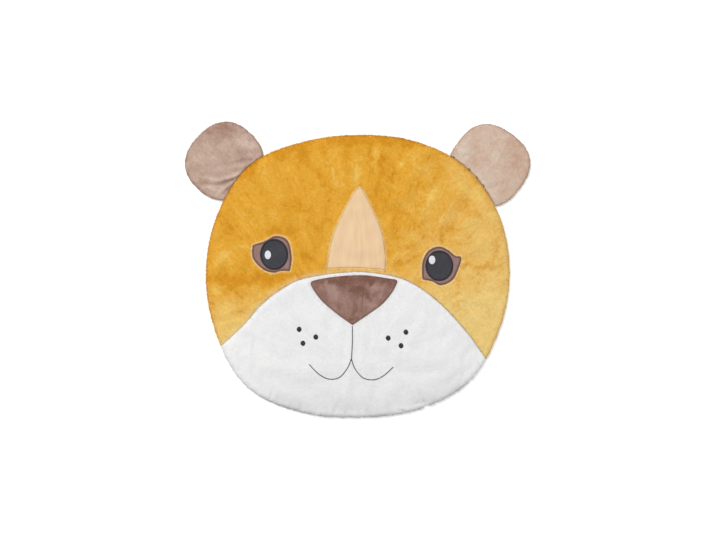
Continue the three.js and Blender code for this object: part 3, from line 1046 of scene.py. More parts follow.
def ringPiece(name, rings):
    # closed surface over rings of places, the first and last of them drawn to a point
    count = len(rings[0])
    places = np.concatenate(rings) * mm
    faces = []
    for r in range(len(rings) - 1):
        a, b = r * count, (r + 1) * count
        faces += [(a + i, a + (i + 1) % count, b + (i + 1) % count, b + i) for i in range(count)]
    return meshObject(name, places, faces)


earPlush = {side: earPiece(side) for side in ("left", "right")}
print("ears made")


# Surface of the face, for what is sewn on it
def surfaceOf(*pieces):
    graph = bpy.context.evaluated_depsgraph_get()
    trees = [BVHTree.FromObject(piece, graph) for piece in pieces]

    def heightAt(x, y):
        # millimetres, straight down onto whichever piece lies highest
        found = np.empty(np.size(x))
        for i, (px, py) in enumerate(zip(np.ravel(x), np.ravel(y))):
            hits = [tree.ray_cast((px * mm, py * mm, 0.2), (0, 0, -1))[0] for tree in trees]
            found[i] = max((hit.z for hit in hits if hit is not None), default=0.0) / mm
        return found.reshape(np.shape(x))

    return heightAt


faceHeight = surfaceOf(headPlush, muzzlePlush)


# Shader groups shared by several materials
def newTree(name, kind, inputs, outputs):
    # a node tree with named sockets: a number gives a float socket, a word names another kind
    tree = bpy.data.node_groups.new(name, kind)
    for label, value in inputs.items():
        wanted = value if isinstance(value, str) else "Float"
        socket = tree.interface.new_socket(name=label, in_out="INPUT", socket_type="NodeSocket" + wanted)
        if wanted == "Float":
            socket.default_value = value
    for label, wanted in outputs.items():
        tree.interface.new_socket(name=label, in_out="OUTPUT", socket_type="NodeSocket" + wanted)
    start = tree.nodes.new("NodeGroupInput")
    finish = tree.nodes.new("NodeGroupOutput")
    return tree, start.outputs, finish.inputs


def wire(tree, kind, settings=None, **inputs):
    # a new node with its settings and inputs, where an input is a value or another socket
    node = tree.nodes.new(kind)
    for key, value in (settings or {}).items():
        setattr(node, key, value)
    for key, value in inputs.items():
        key = int(key[1:]) if key[0] == "_" else key
        socket = node.inputs[key]
        if isinstance(value, bpy.types.NodeSocket):
            tree.links.new(value, socket)
        else:
            socket.default_value = value
    return node


def calc(tree, operation, *values, clamp=False):
    inputs = {"_" + str(i): value for i, value in enumerate(values)}
    settings = {"operation": operation, "use_clamp": clamp}
    return wire(tree, "ShaderNodeMath", settings=settings, **inputs).outputs[0]


def plus(tree, first, second, clamp=False):
    return calc(tree, "ADD", first, second, clamp=clamp)


def times(tree, first, second):
    return calc(tree, "MULTIPLY", first, second)


def combined(tree, **axes):
    return wire(tree, "ShaderNodeCombineXYZ", **axes).outputs[0]


def separated(tree, vector):
    return wire(tree, "ShaderNodeSeparateXYZ", _0=vector).outputs


def vectorMath(tree, operation, **inputs):
    return wire(tree, "ShaderNodeVectorMath", settings={"operation": operation}, **inputs).outputs[0]


def remap(tree, value, low, high, outLow=0.0, outHigh=1.0):
    node = wire(tree, "ShaderNodeMapRange", settings={"interpolation_type": "SMOOTHSTEP"}, Value=value)
    setInputs(node, {"From Min": low, "From Max": high, "To Min": outLow, "To Max": outHigh})
    return node.outputs["Result"]


def noise(tree, vector, scale, detail=3.0, roughness=0.5, distortion=0.0):
    inputs = {"Scale": scale, "Detail": detail, "Roughness": roughness, "Distortion": distortion}
    return wire(tree, "ShaderNodeTexNoise", Vector=vector, **inputs).outputs["Fac"]


def mixColour(tree, share, first, second, mode="MIX"):
    settings = {"data_type": "RGBA", "blend_type": mode}
    return wire(tree, "ShaderNodeMix", settings=settings, _0=share, _6=first, _7=second).outputs[2]


def makeNapGroup():
    # brushed plush: streaks that fan out from below the face, patches, fine fibre and the pile
    inputs = {
        "Vector": "Vector", "Fan root": 0.3, "Brush and highlight": 0.0, "Brush share": 0.4,
        "Streaks": 9.0, "Streak share": 1.2, "Patches": 14.0, "Patch share": 0.9,
        "Fibre share": 0.8, "Pile": 420.0, "Seed": 0.0,
    }
    outputs = {"Nap": "Float", "Patch": "Float", "Pile": "Float", "Height": "Float"}
    group, given, out = newTree("brushedNap", "ShaderNodeTree", inputs, outputs)
    seeds = combined(group, Z=given["Seed"])
    spot = vectorMath(group, "ADD", _0=given["Vector"], _1=seeds)
    parts = separated(group, given["Vector"])
    across = times(group, parts["X"], parts["X"])
    above = plus(group, parts["Y"], given["Fan root"])
    upward = times(group, above, above)
    radius = calc(group, "SQRT", plus(group, plus(group, across, upward), 0.004))
    ringX = calc(group, "DIVIDE", parts["X"], radius)
    ringY = calc(group, "DIVIDE", above, radius)
    wobble = times(group, noise(group, spot, 6.0, 2.0), 0.45)
    longWay = plus(group, times(group, radius, 1.1), given["Seed"])
    longWay = plus(group, longWay, wobble)
    around = combined(group, X=ringX, Y=ringY, Z=longWay)
    streak = noise(group, around, given["Streaks"], 5.0, 0.62, 0.3)
    longFibre = combined(group, X=ringX, Y=ringY, Z=times(group, longWay, 1.6))
    fibre = noise(group, longFibre, times(group, given["Streaks"], 6.5), 3.0, 0.6, 0.2)
    patch = noise(group, spot, given["Patches"], 4.0, 0.62, 0.8)
    blend = plus(group, 0.5, times(group, given["Brush and highlight"], given["Brush share"]))
    for field, share in ((streak, "Streak share"), (patch, "Patch share"), (fibre, "Fibre share")):
        change = times(group, calc(group, "SUBTRACT", field, 0.5), given[share])
        blend = plus(group, blend, change)
    group.links.new(plus(group, blend, 0.0, clamp=True), out["Nap"])
    group.links.new(remap(group, patch, 0.35, 0.65), out["Patch"])
    tuft = noise(group, spot, given["Pile"], 2.0, 0.7)
    clump = noise(group, spot, times(group, given["Pile"], 0.3), 2.0, 0.6)
    pile = plus(group, times(group, tuft, 0.55), times(group, clump, 0.45))
    group.links.new(pile, out["Pile"])
    rough = plus(group, pile, times(group, blend, 1.1))
    group.links.new(rough, out["Height"])
    return group


def makeThreadGroup():
    # rows of thread laid side by side, with a little unevenness from strand to strand
    inputs = {"Vector": "Vector", "Rows": 900.0, "Turn": 0.0}
    outputs = {"Height": "Float", "Uneven": "Float"}
    group, given, out = newTree("threadRows", "ShaderNodeTree", inputs, outputs)
    axis = {"rotation_type": "Z_AXIS"}
    turned = wire(group, "ShaderNodeVectorRotate", settings=axis, Vector=given["Vector"], Angle=given["Turn"])
    parts = separated(group, turned.outputs[0])
    wander = noise(group, turned.outputs[0], 90.0, 2.0)
    place = plus(group, times(group, parts["Y"], given["Rows"]), times(group, wander, 1.4))
    group.links.new(calc(group, "ABSOLUTE", calc(group, "SINE", place)), out["Height"])
    squeezed = combined(group, X=times(group, parts["X"], 0.06), Y=parts["Y"])
    group.links.new(noise(group, squeezed, 700.0, 2.0), out["Uneven"])
    return group


napGroup = makeNapGroup()
threadGroup = makeThreadGroup()


def newMaterial(name, roughness, sheen, sheenRoughness, shine):
    material = bpy.data.materials.new(name)
    material.use_nodes = True
    tree = material.node_tree
    shader = tree.nodes["Principled BSDF"]
    finish = {
        "Roughness": roughness,
        "Sheen Weight": sheen,
        "Sheen Roughness": sheenRoughness,
        "Sheen Tint": (1, 1, 1, 1),
        "Specular IOR Level": shine,
    }
    setInputs(shader, finish)
    place = tree.nodes.new("ShaderNodeTexCoord").outputs["Object"]
    return material, tree, shader, place


def addBump(tree, shader, height, strength, distance):
    bump = wire(tree, "ShaderNodeBump", Height=height, Strength=strength, Distance=distance)
    tree.links.new(bump.outputs[0], shader.inputs["Normal"])


def readAttribute(tree, name):
    node = tree.nodes.new("ShaderNodeAttribute")
    node.attribute_name = name
    return node.outputs["Fac"]


def useGroup(tree, group, place, values):
    node = tree.nodes.new("ShaderNodeGroup")
    node.node_tree = group
    tree.links.new(place, node.inputs["Vector"])
    setInputs(node, values)
    return node


def useNap(tree, place, look):
    node = useGroup(tree, napGroup, place, look["nap"])
    # brush marks, and on the ears also the painted highlight on the fold ridges
    tree.links.new(readAttribute(tree, "brushed"), node.inputs["Brush and highlight"])
    return node.outputs


def greyShade(tree, shade):
    return wire(tree, "ShaderNodeCombineColor", _0=shade, _1=shade, _2=shade).outputs[0]


def finishPlush(tree, shader, base, nap, look):
    # fine speckle of the pile, the painted shade in seams, creases and round the chin, the colour and the
    # bump
    low, high = look["speckle"]
    speck = remap(tree, nap["Pile"], 0.36, 0.64, low, high)
    base = mixColour(tree, 1.0, base, greyShade(tree, speck), "MULTIPLY")
    uneven = remap(tree, nap["Patch"], 0.0, 1.0, 0.55, 1.0)
    # painted shade: the seamShade attribute, made patchy, mixes the colour towards the look's seam colour
    seam = times(tree, readAttribute(tree, "seamShade"), uneven)
    base = mixColour(tree, times(tree, seam, look["shadeStrength"]), base, look["seam"])
    tree.links.new(base, shader.inputs["Base Color"])
    addBump(tree, shader, nap["Height"], look["bump"], 1.2 * mm)


yellowLook = {
    "deep": linearColour(205, 138, 22),
    "warm": linearColour(222, 162, 50),
    "pale": linearColour(233, 201, 126),
    "bright": linearColour(236, 199, 104),
    # pale colour where the pile opens, partly painted light along the muzzle seam
    "parted": linearColour(245, 218, 160),
    # colour of the painted shade
    "seam": linearColour(140, 114, 50),
    "shadeStrength": 0.6,
    "speckle": (0.9, 1.07),
    "bump": 0.6,
    "nap": {
        "Brush share": 0.44, "Streaks": 13.0, "Streak share": 1.2, "Patches": 15.0,
        "Patch share": 0.9, "Fibre share": 1.0, "Pile": 420.0, "Seed": 3.0,
    },
}


def makeYellow(look):
    material, tree, shader, place = newMaterial("yellowPlush", 0.9, 0.2, 0.45, 0.15)
    nap = useNap(tree, place, look)
    parts = separated(tree, place)
    # painted light: the colour turns paler towards the right and towards both lower cheeks, where more light
    # falls
    slope = plus(tree, times(tree, parts["X"], 0.9), times(tree, parts["Y"], -0.45))
    slope = plus(tree, slope, times(tree, nap["Patch"], 0.1))
    lower = plus(tree, parts["Y"], times(tree, nap["Patch"], -0.03))
    lower = remap(tree, lower, -0.04, -0.21, 0.0, 0.75)
    paintedLight = plus(tree, remap(tree, slope, 0.0, 0.6), lower, clamp=True)
    base = mixColour(tree, paintedLight, look["warm"], look["pale"])
    dark = remap(tree, nap["Nap"], 0.5, 0.06, 0.0, 0.85)
    dark = times(tree, dark, remap(tree, paintedLight, 0.15, 0.9, 1.0, 0.35))
    base = mixColour(tree, dark, base, look["deep"])
    light = remap(tree, nap["Nap"], 0.52, 0.95, 0.0, 0.65)
    base = mixColour(tree, light, base, look["bright"])
    # pale where the pile opens; along the left of the muzzle seam this is partly painted light
    parted = times(tree, readAttribute(tree, "parted"), 0.75)
    base = mixColour(tree, parted, base, look["parted"])
    finishPlush(tree, shader, base, nap, look)
    return material


yellowPlush = makeYellow(yellowLook)


def makePlainPlush(name, look):
    # one-colour plush, mottled between a light and a dark tone
    material, tree, shader, place = newMaterial(name, 0.92, 0.2, 0.45, 0.15)
    nap = useNap(tree, place, look)
    base = mixColour(tree, nap["Nap"], look["dark"], look["light"])
    finishPlush(tree, shader, base, nap, look)
    return material


whiteLook = {
    "light": linearColour(238, 238, 237),
    "dark": linearColour(227, 227, 228),
    # colour of the painted shade
    "seam": linearColour(148, 148, 152),
    "shadeStrength": 0.7,
    "speckle": (0.97, 1.02),
    "bump": 0.45,
    "nap": {"Streaks": 8.0, "Streak share": 1.4, "Patches": 14.0, "Patch share": 1.2, "Seed": 7.0},
}
earLook = {
    # colour of the painted shade
    "seam": linearColour(128, 102, 92),
    "shadeStrength": 0.55,
    "speckle": (0.92, 1.06),
    "bump": 0.6,
    "nap": {
        "Brush share": 0.46, "Streaks": 14.0, "Streak share": 0.8, "Patches": 22.0, "Patch share": 1.1,
        "Fibre share": 0.7, "Seed": 11.0,
    },
}
earColours = {
    "left": {"light": linearColour(206, 182, 167), "dark": linearColour(156, 122, 105)},
    "right": {"light": linearColour(214, 197, 180), "dark": linearColour(194, 158, 136)},
}
noseLook = {
    "light": linearColour(166, 134, 124),
    "dark": linearColour(122, 86, 73),
    "seam": linearColour(104, 78, 70),
    "shadeStrength": 0.0,
    "speckle": (0.92, 1.06),
    "bump": 0.6,
    "nap": {
        "Brush share": 0.55, "Streaks": 16.0, "Streak share": 1.0, "Patches": 26.0, "Patch share": 1.1,
        "Seed": 19.0,
    },
}
eyeRimLook = {
    "light": linearColour(162, 132, 124),
    "dark": linearColour(132, 102, 96),
    "seam": linearColour(104, 78, 74),
    "shadeStrength": 0.0,
    "speckle": (0.94, 1.05),
    "bump": 0.4,
    "nap": {"Streaks": 30.0, "Patches": 60.0, "Pile": 700.0, "Seed": 23.0},
}
whitePlush = makePlainPlush("whitePlush", whiteLook)
earCloth = {
    side: makePlainPlush("earPlush" + side.capitalize(), {**earLook, **earColours[side]})
    for side in ("left", "right")
}
nosePlush = makePlainPlush("nosePlush", noseLook)
rimPlush = makePlainPlush("eyeRimCloth", eyeRimLook)


peachLook = {
    "ribs": (linearColour(226, 192, 148), linearColour(233, 203, 162)),
    "patch": linearColour(230, 194, 158),
    "ribScale": 60.0,
    "weaveScale": 260.0,
    "bump": 0.3,
}


def makePeach(look):
    # smooth cloth with faint upright ribs and a fine weave
    material, tree, shader, place = newMaterial("peachCloth", 0.6, 0.12, 0.4, 0.25)
    parts = separated(tree, place)
    stretched = combined(tree, X=parts["X"], Y=times(tree, parts["Y"], 0.12))
    ribs = noise(tree, stretched, look["ribScale"], 4.0, 0.6)
    patch = noise(tree, place, 24.0, 3.0)
    base = mixColour(tree, remap(tree, ribs, 0.35, 0.65), *look["ribs"])
    base = mixColour(tree, remap(tree, patch, 0.35, 0.65, 0.0, 0.5), base, look["patch"])
    tree.links.new(base, shader.inputs["Base Color"])
    weave = wire(
        tree, "ShaderNodeTexWave", settings={"wave_type": "BANDS"},
        Vector=place, Scale=look["weaveScale"], Distortion=0.6,
    )
    height = plus(tree, times(tree, ribs, 0.6), times(tree, weave.outputs["Fac"], 0.15))
    height = plus(tree, height, times(tree, noise(tree, place, 500.0, 2.0), 0.2))
    addBump(tree, shader, height, look["bump"], 0.5 * mm)
    return material


def makeThread(name, colour, shine=0.45, rows=None, turn=0.0):
    # embroidery thread, with visible rows where it fills an area
    material, tree, shader, place = newMaterial(name, 0.5, 0.15, 0.4, shine)
    node = useGroup(tree, threadGroup, place, {"Rows": rows or 2400.0, "Turn": turn})
    shade = remap(tree, node.outputs["Uneven"], 0.3, 0.7, 0.82, 1.15)
    tinted = mixColour(tree, 1.0, colour, greyShade(tree, shade), "MULTIPLY")
    tree.links.new(tinted, shader.inputs["Base Color"])
    addBump(tree, shader, node.outputs["Height"], 0.5 if rows else 0.2, 0.35 * mm)
    return material


peachCloth = makePeach(peachLook)
slateFill = makeThread("slateFill", linearColour(64, 64, 70), 0.25, 2100.0, 0.5)
slateThread = makeThread("slateThread", linearColour(46, 43, 54), 0.3)
whiteThread = makeThread("whiteThread", linearColour(226, 226, 234), 0.4, 3000.0, 0.3)
greyThread = makeThread("greyThread", linearColour(92, 92, 94))
blackThread = makeThread("blackThread", linearColour(42, 42, 45))
peachThread = makeThread("peachThread", linearColour(236, 203, 158))
brownThread = makeThread("brownThread", linearColour(98, 72, 66), 0.3)
rimThread = makeThread("rimThread", linearColour(120, 93, 86), 0.3)
print("materials ready")

dress(headPlush, yellowPlush, ["head_panel"])
dress(muzzlePlush, whitePlush, ["muzzle_panel"])
for side, cloth in earCloth.items():
    dress(earPlush[side], cloth, ["ear_" + side])


def ellipsePoints(centre, size, count):
    turn = np.linspace(0, 2 * math.pi, count, endpoint=False)
    return np.column_stack([centre[0] + size[0] * np.cos(turn), centre[1] + size[1] * np.sin(turn)])


def insetOutline(outline, middle, inset):
    towards = np.array(middle) - outline
    reach = np.linalg.norm(towards, axis=1)[:, None]
    return outline + towards / reach * np.minimum(inset, reach)


def sewnPiece(
    name, outline, middle, heightBelow, thick=sewnSettings["thickness"], rowSpacing=5.0, relief=None
):
    # a closed sheet that follows what it lies on, with a rolled edge
    s = sewnSettings
    towards = np.array(middle) - outline
    reach = np.linalg.norm(towards, axis=1)
    shares = np.linspace(0, 1, max(3, round(float(reach.max()) / rowSpacing)) + 1)[1:]
    rows = [(s["edgeRound"], share, 0.0) for share in reversed(shares)]
    rows += [(inset, 0, lift * thick) for inset, lift in s["rolledEdge"]]
    rows += [(s["edgeRound"], share, thick) for share in (0, *shares)]
    spots = [outline + towards * wayIn(reach, inset, share)[:, None] for inset, share, _ in rows]
    ground = heightBelow(*np.concatenate(spots).T).reshape(len(rows), -1) + s["gap"]
    rings = []
    for spot, below, (_, _, lift) in zip(spots, ground, rows):
        z = below + lift
        if relief is not None and lift >= thick:
            z = z + relief(spot[:, 0], spot[:, 1])
        rings.append(np.column_stack([spot, z]))
    return ringPiece(name, rings)


def blazeRelief(x, y):
    # the upright crease left of the right edge, and two slack wrinkles low down
    crease = 1.4 * np.exp(-(((x - 8) / 5) ** 2)) * smoothStep((118 - y) / 40) * smoothStep((y - 8) / 20)
    slack = 0.6 * np.exp(-(((x - 52 + 0.7 * (y - 40)) / 5) ** 2)) * np.exp(-(((y - 38) / 28) ** 2))
    return crease + slack


sewn = {}
for name, cloth, slot, relief in (
    ("blaze", peachCloth, "peach_satin", blazeRelief),
    ("nose", nosePlush, "brown_plush", None),
):
    shape = sewnSettings[name]
    outline = outlinePoints(shape["edges"])
    piece = sewnPiece(name + "Cloth", outline, shape["middle"], faceHeight, relief=relief)
    if name == "nose":
        x, y, _ = placesOf(piece).T / mm
        paintPiece(piece, brushed=brushedTone(x, y, noseMarks))
    sewn[name] = (dress(piece, cloth, [name]), outline, shape["middle"])
print("blaze and nose made")

embroideryThickness = 0.9
eyes = {}
for side, eye in eyeSettings.items():
    centre = eye["centre"]
    title = side.capitalize()
    rimRing = outlinePoints(eye["rim"], centre, 2.2)
    rim = sewnPiece("eyeRim" + title, rimRing, centre, faceHeight)
    irisRing = ellipsePoints(centre, eye["iris"], 110)
    iris = sewnPiece("eyeIris" + title, irisRing, centre, surfaceOf(rim), embroideryThickness)
    glint = eye["highlight"]
    glintAt = (centre[0] + glint["at"][0], centre[1] + glint["at"][1])
    glintRing = ellipsePoints(glintAt, glint["size"], 48)
    shine = sewnPiece("eyeHighlight" + title, glintRing, glintAt, surfaceOf(iris), embroideryThickness, 2.0)
    dress(rim, rimPlush, ["eye_rim_" + side])
    dress(iris, slateFill, ["eye_iris_" + side])
    dress(shine, whiteThread, ["eye_highlight_" + side])
    eyes[side] = {"rim": rim, "iris": iris, "rimRing": rimRing, "irisRing": irisRing}
print("eyes made")


# Stitches by Geometry Nodes: threads laid one after another along a line
def randomValue(tree, kind, seed, **limits):
    return wire(tree, "FunctionNodeRandomValue", settings={"data_type": kind}, Seed=seed, **limits).outputs


def placeOnPoints(tree, given, out, points, shape, turn, size, smooth):
    # one shape on every point, made real and given its material
    placed = wire(
        tree, "GeometryNodeInstanceOnPoints", Points=points, Instance=shape, Rotation=turn, Scale=size
    )
    real = wire(tree, "GeometryNodeRealizeInstances", Geometry=placed.outputs[0])
    if smooth:
        real = wire(tree, "GeometryNodeSetShadeSmooth", Geometry=real.outputs[0])
    dressed = wire(tree, "GeometryNodeSetMaterial", Geometry=real.outputs[0], Material=given["Material"])
    tree.links.new(dressed.outputs[0], out["Geometry"])


def makeStitchTree():
    inputs = {
        "Geometry": "Geometry", "Spacing": 0.0009, "Thread length": 0.004, "Thread radius": 0.0005,
        "Lean": 0.0, "Alternate": 0.0, "Uneven": 0.08, "Seed": "Int", "Material": "Material",
    }
    tree, given, out = newTree("threadsAlongLine", "GeometryNodeTree", inputs, {"Geometry": "Geometry"})
    line = wire(tree, "GeometryNodeMeshToCurve", Mesh=given["Geometry"])
    byLength = {"mode": "LENGTH"}
    spaced = wire(
        tree, "GeometryNodeResampleCurve", settings=byLength, Curve=line.outputs[0], Length=given["Spacing"]
    )
    strand = wire(tree, "GeometryNodeMeshUVSphere", Segments=6, Rings=5, Radius=1.0)
    half = times(tree, given["Thread length"], 0.5)
    thickness = combined(tree, X=given["Thread radius"], Y=half, Z=given["Thread radius"])
    least = calc(tree, "SUBTRACT", 1.0, given["Uneven"])
    most = plus(tree, 1.0, given["Uneven"])
    chance = randomValue(tree, "FLOAT", given["Seed"], _2=least, _3=most)[1]
    size = vectorMath(tree, "SCALE", _0=thickness, Scale=chance)
    # each thread lies across the line, leaning one way or by turns both ways
    tangent = tree.nodes.new("GeometryNodeInputTangent").outputs[0]
    axes = {"axis": "X", "pivot_axis": "Z"}
    across = wire(tree, "FunctionNodeAlignRotationToVector", settings=axes, Vector=tangent)
    number = tree.nodes.new("GeometryNodeInputIndex").outputs[0]
    odd = calc(tree, "MODULO", number, 2.0)
    flip = calc(tree, "SUBTRACT", 1.0, times(tree, times(tree, odd, 2.0), given["Alternate"]))
    stray = times(tree, calc(tree, "SUBTRACT", chance, 1.0), 0.8)
    angle = plus(tree, times(tree, given["Lean"], flip), stray)
    lean = wire(tree, "FunctionNodeAxisAngleToRotation", Axis=(0, 0, 1), Angle=angle)
    turned = wire(
        tree, "FunctionNodeRotateRotation", settings={"rotation_space": "LOCAL"},
        Rotation=across.outputs[0], _1=lean.outputs[0],
    )
    placeOnPoints(
        tree, given, out, spaced.outputs[0], strand.outputs[0], turned.outputs[0], size, smooth=True
    )
    return tree


stitchTree = makeStitchTree()


def growTree(piece, tree, values):
    # inputs are set by identifier, then the result becomes a plain mesh
    modifier = piece.modifiers.new("grown", "NODES")
    modifier.node_group = tree
    for item in tree.interface.items_tree:
        if item.in_out == "INPUT" and item.name in values:
            modifier[item.identifier] = values[item.name]
    applyModifiers(piece)


def threadsAlong(name, points, material, stitch, seed, closed=False):
    # a line of places in metres becomes threads, as one plain mesh
    count = len(points)
    edges = [(i, i + 1) for i in range(count - 1)] + ([(count - 1, 0)] if closed else [])
    mesh = bpy.data.meshes.new(name)
    mesh.from_pydata([tuple(p) for p in points], edges, [])
    piece = placeObject(name, mesh)
    growTree(piece, stitchTree, {**stitch, "Seed": seed, "Material": material})
    return piece


def joinPieces(name, pieces):
    materials = []
    work = bmesh.new()
    for piece in pieces:
        first = len(work.faces)
        work.from_mesh(piece.data)
        work.faces.ensure_lookup_table()
        own = [slot.material for slot in piece.material_slots]
        materials += [material for material in own if material not in materials]
        for face in work.faces[first:]:
            face.material_index = materials.index(own[face.material_index])
    mesh = bpy.data.meshes.new(name)
    work.to_mesh(mesh)
    work.free()
    for piece in pieces:
        bpy.data.objects.remove(piece)
    for material in materials:
        mesh.materials.append(material)
    return placeObject(name, mesh)


def stitchKind(spacing, length, radius, lean=0.0, alternate=0.0, uneven=0.08):
    # sizes in millimetres, the lean of each thread in radians
    return {
        "Spacing": spacing * mm, "Thread length": length * mm, "Thread radius": radius * mm,
        "Lean": lean, "Alternate": alternate, "Uneven": uneven,
    }


stitchSettings = {
    "blaze": stitchKind(spacing=1.7, length=3.0, radius=0.42, lean=0.55, alternate=1.0),
    "nose": stitchKind(spacing=1.7, length=3.0, radius=0.42, lean=0.55, alternate=1.0),
    "rim": stitchKind(spacing=0.85, length=6.4, radius=0.52, lean=0.12),
    "iris": stitchKind(spacing=0.85, length=6.0, radius=0.52, lean=0.1),
    "irisFill": stitchKind(spacing=2.6, length=2.9, radius=0.42, lean=1.57, uneven=0.15),
    "mouth": stitchKind(spacing=0.8, length=3.5, radius=0.55, lean=0.35),
}
stitchInsets = {"blaze": 1.4, "nose": 4.0, "rim": 3.0, "iris": 2.8}
irisFill = {"from": 7.2, "spacing": 2.9, "rings": 11, "spare": 3, "lift": 0.05}


def laidOn(outline, heightBelow, lift):
    return np.column_stack([outline, heightBelow(outline[:, 0], outline[:, 1]) + lift]) * mm


def overBoth(first, second):
    # height of whichever of two surfaces lies higher
    return lambda x, y: np.maximum(first(x, y), second(x, y))


def edgeStitches(name, outline, middle, inset, carrier, key, material, lift=0.15):
    line = insetOutline(outline, middle, inset)
    points = laidOn(line, overBoth(surfaceOf(carrier), faceHeight), lift)
    return threadsAlong(name, points, material, stitchSettings[key], len(name), closed=True)


for name, thread, slot, carrier in (
    ("blaze", peachThread, "peach_satin", "headPlush"),
    ("nose", brownThread, "brown_plush", "muzzlePlush"),
):
    cloth, outline, middle = sewn[name]
    stitches = edgeStitches(name + "Stitches", outline, middle, stitchInsets[name], cloth, name, thread)
    dress(stitches, None)

for side, eye in eyes.items():
    title = side.capitalize()
    centre = eyeSettings[side]["centre"]
    rimStitches = edgeStitches(
        "eyeRimStitches" + title, eye["rimRing"], centre, stitchInsets["rim"], eye["rim"], "rim", rimThread
    )
    ring = ("ring", eye["irisRing"], centre)
    rings = [edgeStitches(*ring, stitchInsets["iris"], eye["iris"], "iris", slateThread)]
    for number in range(irisFill["rings"]):
        inset = irisFill["from"] + irisFill["spacing"] * number
        if inset < min(eyeSettings[side]["iris"]) - irisFill["spare"]:
            rings.append(edgeStitches(*ring, inset, eye["iris"], "irisFill", slateFill, irisFill["lift"]))
    dress(rimStitches, None)
    dress(joinPieces("eyeIrisStitches" + title, rings), None)
print("edge stitches made")

# Painted shadow: short dark threads where the right ear is caught in the outer seam, standing for the shade
# in small gaps that open there
rootShadowSettings = {
    "places": [(279, 325), (319, 286), (345, 266), (362, 241)],
    "out": 2.6,
    "lift": 0.3,
    "halfLength": 3.4,
}
caught = []
for number, (px, py) in enumerate(rootShadowSettings["places"]):
    cx, cy = headSettings["centre"]
    bearing = math.atan2(py - cy, px - cx)
    reach = float(rimReach(bearing)) + rootShadowSettings["out"]
    turns = bearing + np.linspace(-1, 1, 9) * rootShadowSettings["halfLength"] / reach
    line = np.column_stack([cx + reach * np.cos(turns), cy + reach * np.sin(turns)])
    points = laidOn(line, surfaceOf(earPlush["right"]), rootShadowSettings["lift"])
    caught.append(threadsAlong("rootShadowPart", points, brownThread, stitchSettings["mouth"], 40 + number))
dress(joinPieces("earRootShadowsRight", caught), None)

# Mouth: the line below the nose and the two curves of the smile
mouthSettings = {
    "lift": 0.5,
    "lines": [
        [(-15, -163), (-15, -210), (-18, -262)],
        [(-18, -256), (-29, -283), (-52, -310), (-82, -315), (-111, -301), (-139, -273)],
        [(-18, -256), (-8, -284), (15, -311), (46, -317), (74, -306), (102, -281)],
    ],
}
mouthParts = []
for number, line in enumerate(mouthSettings["lines"]):
    points = laidOn(curveThrough(line, 80), faceHeight, mouthSettings["lift"])
    mouthParts.append(threadsAlong("mouthPart", points, greyThread, stitchSettings["mouth"], number))
dress(joinPieces("mouthStitches", mouthParts), None, ["mouth_line"])

# Whisker dots: a small dome of thread with satin strands across it
dotSettings = {
    "size": (6.8, 8.1),
    "domeInset": 0.4,
    "height": 0.9,
    "strandSpacing": 0.85,
    "strandLift": 0.05,
    "strandRadius": 0.5,
    "left": [(-168, -172), (-120, -194), (-157, -212)],
    "right": [(88, -197), (139, -180), (125, -219)],
}


def whiskerDot(name, at, seed):
    d = dotSettings
    wide, tall = d["size"]
    domeRing = ellipsePoints(at, (wide - d["domeInset"], tall - d["domeInset"]), 40)
    dome = sewnPiece(name + "Base", domeRing, at, faceHeight, d["height"], 1.5)
    dome.data.materials.append(blackThread)
    strands = [dome]
    ground = overBoth(surfaceOf(dome), faceHeight)
    for k, across in enumerate(np.arange(-wide + 0.5, wide, d["strandSpacing"])):
        half = tall * math.sqrt(max(0.05, 1 - (across / wide) ** 2))
        start = laidOn(np.array([(at[0] + across - 0.3, at[1])]), ground, d["strandLift"])
        # a line a tenth of a millimetre long carries one strand
        points = start.repeat(2, 0) + [[0, 0, 0], [1e-4, 0, 0]]
        kind = stitchKind(spacing=1.0, length=2 * half, radius=d["strandRadius"])
        strands.append(threadsAlong("strand", points, blackThread, kind, seed + k))
    return joinPieces(name, strands)


for side in ("left", "right"):
    for number, at in enumerate(dotSettings[side]):
        title = side.capitalize() + str(number + 1)
        dot = whiskerDot("whiskerDot" + title, at, 10 * number)
        dress(dot, None, ["whisker_dot_" + side + "_" + str(number + 1)])
print("embroidery made")

# Pile standing up along the seams and edges, where the cloth bends and its pile opens
tuftSettings = {
    "all": {"Density": 260000.0, "Radius": 0.55 * mm},
    "headPlush": {"Length": 3.4 * mm, "Seed": 5},
    "muzzlePlush": {"Length": 3.4 * mm, "Seed": 6},
    "earPlushLeft": {"Length": 3.0 * mm, "Seed": 7},
    "earPlushRight": {"Length": 3.0 * mm, "Seed": 8},
    "lowest": 4.2,
    "everywhere": 0.03,
    "rimWidth": 7.0,
    "earWidth": 5.0,
    "seamShare": 0.6,
    "seamWidth": 3.5,
    "sewnShare": 0.45,
    "sewnAt": 3.0,
    "sewnWidth": 2.5,
}


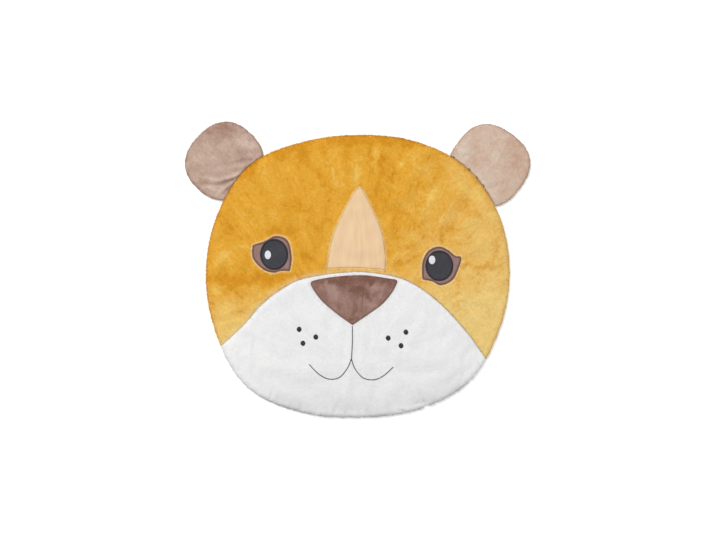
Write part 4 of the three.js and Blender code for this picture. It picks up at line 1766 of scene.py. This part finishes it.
def makeTuftTree():
    inputs = {
        "Geometry": "Geometry", "Density": 100000.0, "Length": 0.003, "Radius": 0.0006, "Lean": 0.9,
        "Seed": "Int", "Material": "Material",
    }
    tree, given, out = newTree("openPile", "GeometryNodeTree", inputs, {"Geometry": "Geometry"})
    tufted = wire(tree, "GeometryNodeInputNamedAttribute", settings={"data_type": "FLOAT"}, Name="tufted")
    density = times(tree, tufted.outputs[0], given["Density"])
    spread = wire(
        tree, "GeometryNodeDistributePointsOnFaces",
        Mesh=given["Geometry"], Density=density, Seed=given["Seed"],
    )
    tuft = wire(tree, "GeometryNodeMeshCone", settings={"fill_type": "NGON"}, Vertices=3, _4=1.0, Depth=1.0)
    # each tuft leans outwards from the middle of the mat, along the cloth's normal and a little astray
    place = tree.nodes.new("GeometryNodeInputPosition").outputs[0]
    flat = vectorMath(tree, "MULTIPLY", _0=place, _1=(1, 1, 0))
    leaning = vectorMath(tree, "SCALE", _0=vectorMath(tree, "NORMALIZE", _0=flat), Scale=given["Lean"])
    stray = randomValue(tree, "FLOAT_VECTOR", given["Seed"], _0=(-0.5, -0.5, 0.1), _1=(0.5, 0.5, 0.5))[0]
    way = vectorMath(tree, "ADD", _0=leaning, _1=stray)
    way = vectorMath(tree, "ADD", _0=way, _1=spread.outputs["Normal"])
    turned = wire(tree, "FunctionNodeAlignRotationToVector", settings={"axis": "Z"}, Vector=way)
    size = combined(tree, X=given["Radius"], Y=given["Radius"], Z=given["Length"])
    placeOnPoints(tree, given, out, spread.outputs[0], tuft.outputs[0], turned.outputs[0], size, smooth=False)
    return tree


tuftTree = makeTuftTree()


def underSewn(x, y):
    # true where the blaze, the nose or an eye covers the pile
    covered = np.zeros(len(x), bool)
    for key, outline in sewnOutlines.items():
        middle = sewnSettings[key]["middle"] if key in sewnSettings else eyeSettings[key]["centre"]
        spokes = outline - middle
        bearings = np.arctan2(spokes[:, 1], spokes[:, 0])
        away = np.hypot(x - middle[0], y - middle[1])
        bearing = np.arctan2(y - middle[1], x - middle[0])
        reach = np.interp(bearing, bearings, np.hypot(*spokes.T), period=2 * math.pi)
        covered |= away < reach
    return covered


def tuftedShare(x, y, z):
    # thick along the outer seam, thinner along the muzzle seam and around what is sewn on
    t = tuftSettings
    rim = fadeFrom(np.maximum(0, depthInHead(x, y)), t["rimWidth"])
    seam = t["seamShare"] * fadeFrom(distanceToSeam(x, y)[0], t["seamWidth"])
    around = t["sewnShare"] * fadeFrom(distanceToSewn(x, y) - t["sewnAt"], t["sewnWidth"])
    share = clamp01(rim + seam + around + t["everywhere"])
    return np.where((z > t["lowest"]) & ~underSewn(x, y), share, 0)


def tuftedEar(side, x, y, z):
    t = tuftSettings
    free, _ = depthInEar(side, x, y)
    return clamp01(fadeFrom(np.maximum(0, free), t["earWidth"]) + t["everywhere"]) * (z > t["lowest"])


def tuftPiece(source, name, share):
    mesh = source.data.copy()
    mesh.name = name
    grower = placeObject(name, mesh)
    paintPiece(grower, tufted=share)
    values = {**tuftSettings["all"], **tuftSettings[source.name], "Material": source.data.materials[0]}
    growTree(grower, tuftTree, values)
    return dress(grower, None)


for piece, name, slot in (
    (headPlush, "headPile", "yellow_plush"),
    (muzzlePlush, "muzzlePile", "white_plush"),
):
    tuftPiece(piece, name, tuftedShare(*(placesOf(piece).T / mm)))
for side, piece in earPlush.items():
    share = tuftedEar(side, *(placesOf(piece).T / mm))
    tuftPiece(piece, "earPile" + side.capitalize(), share)
print("pile made")
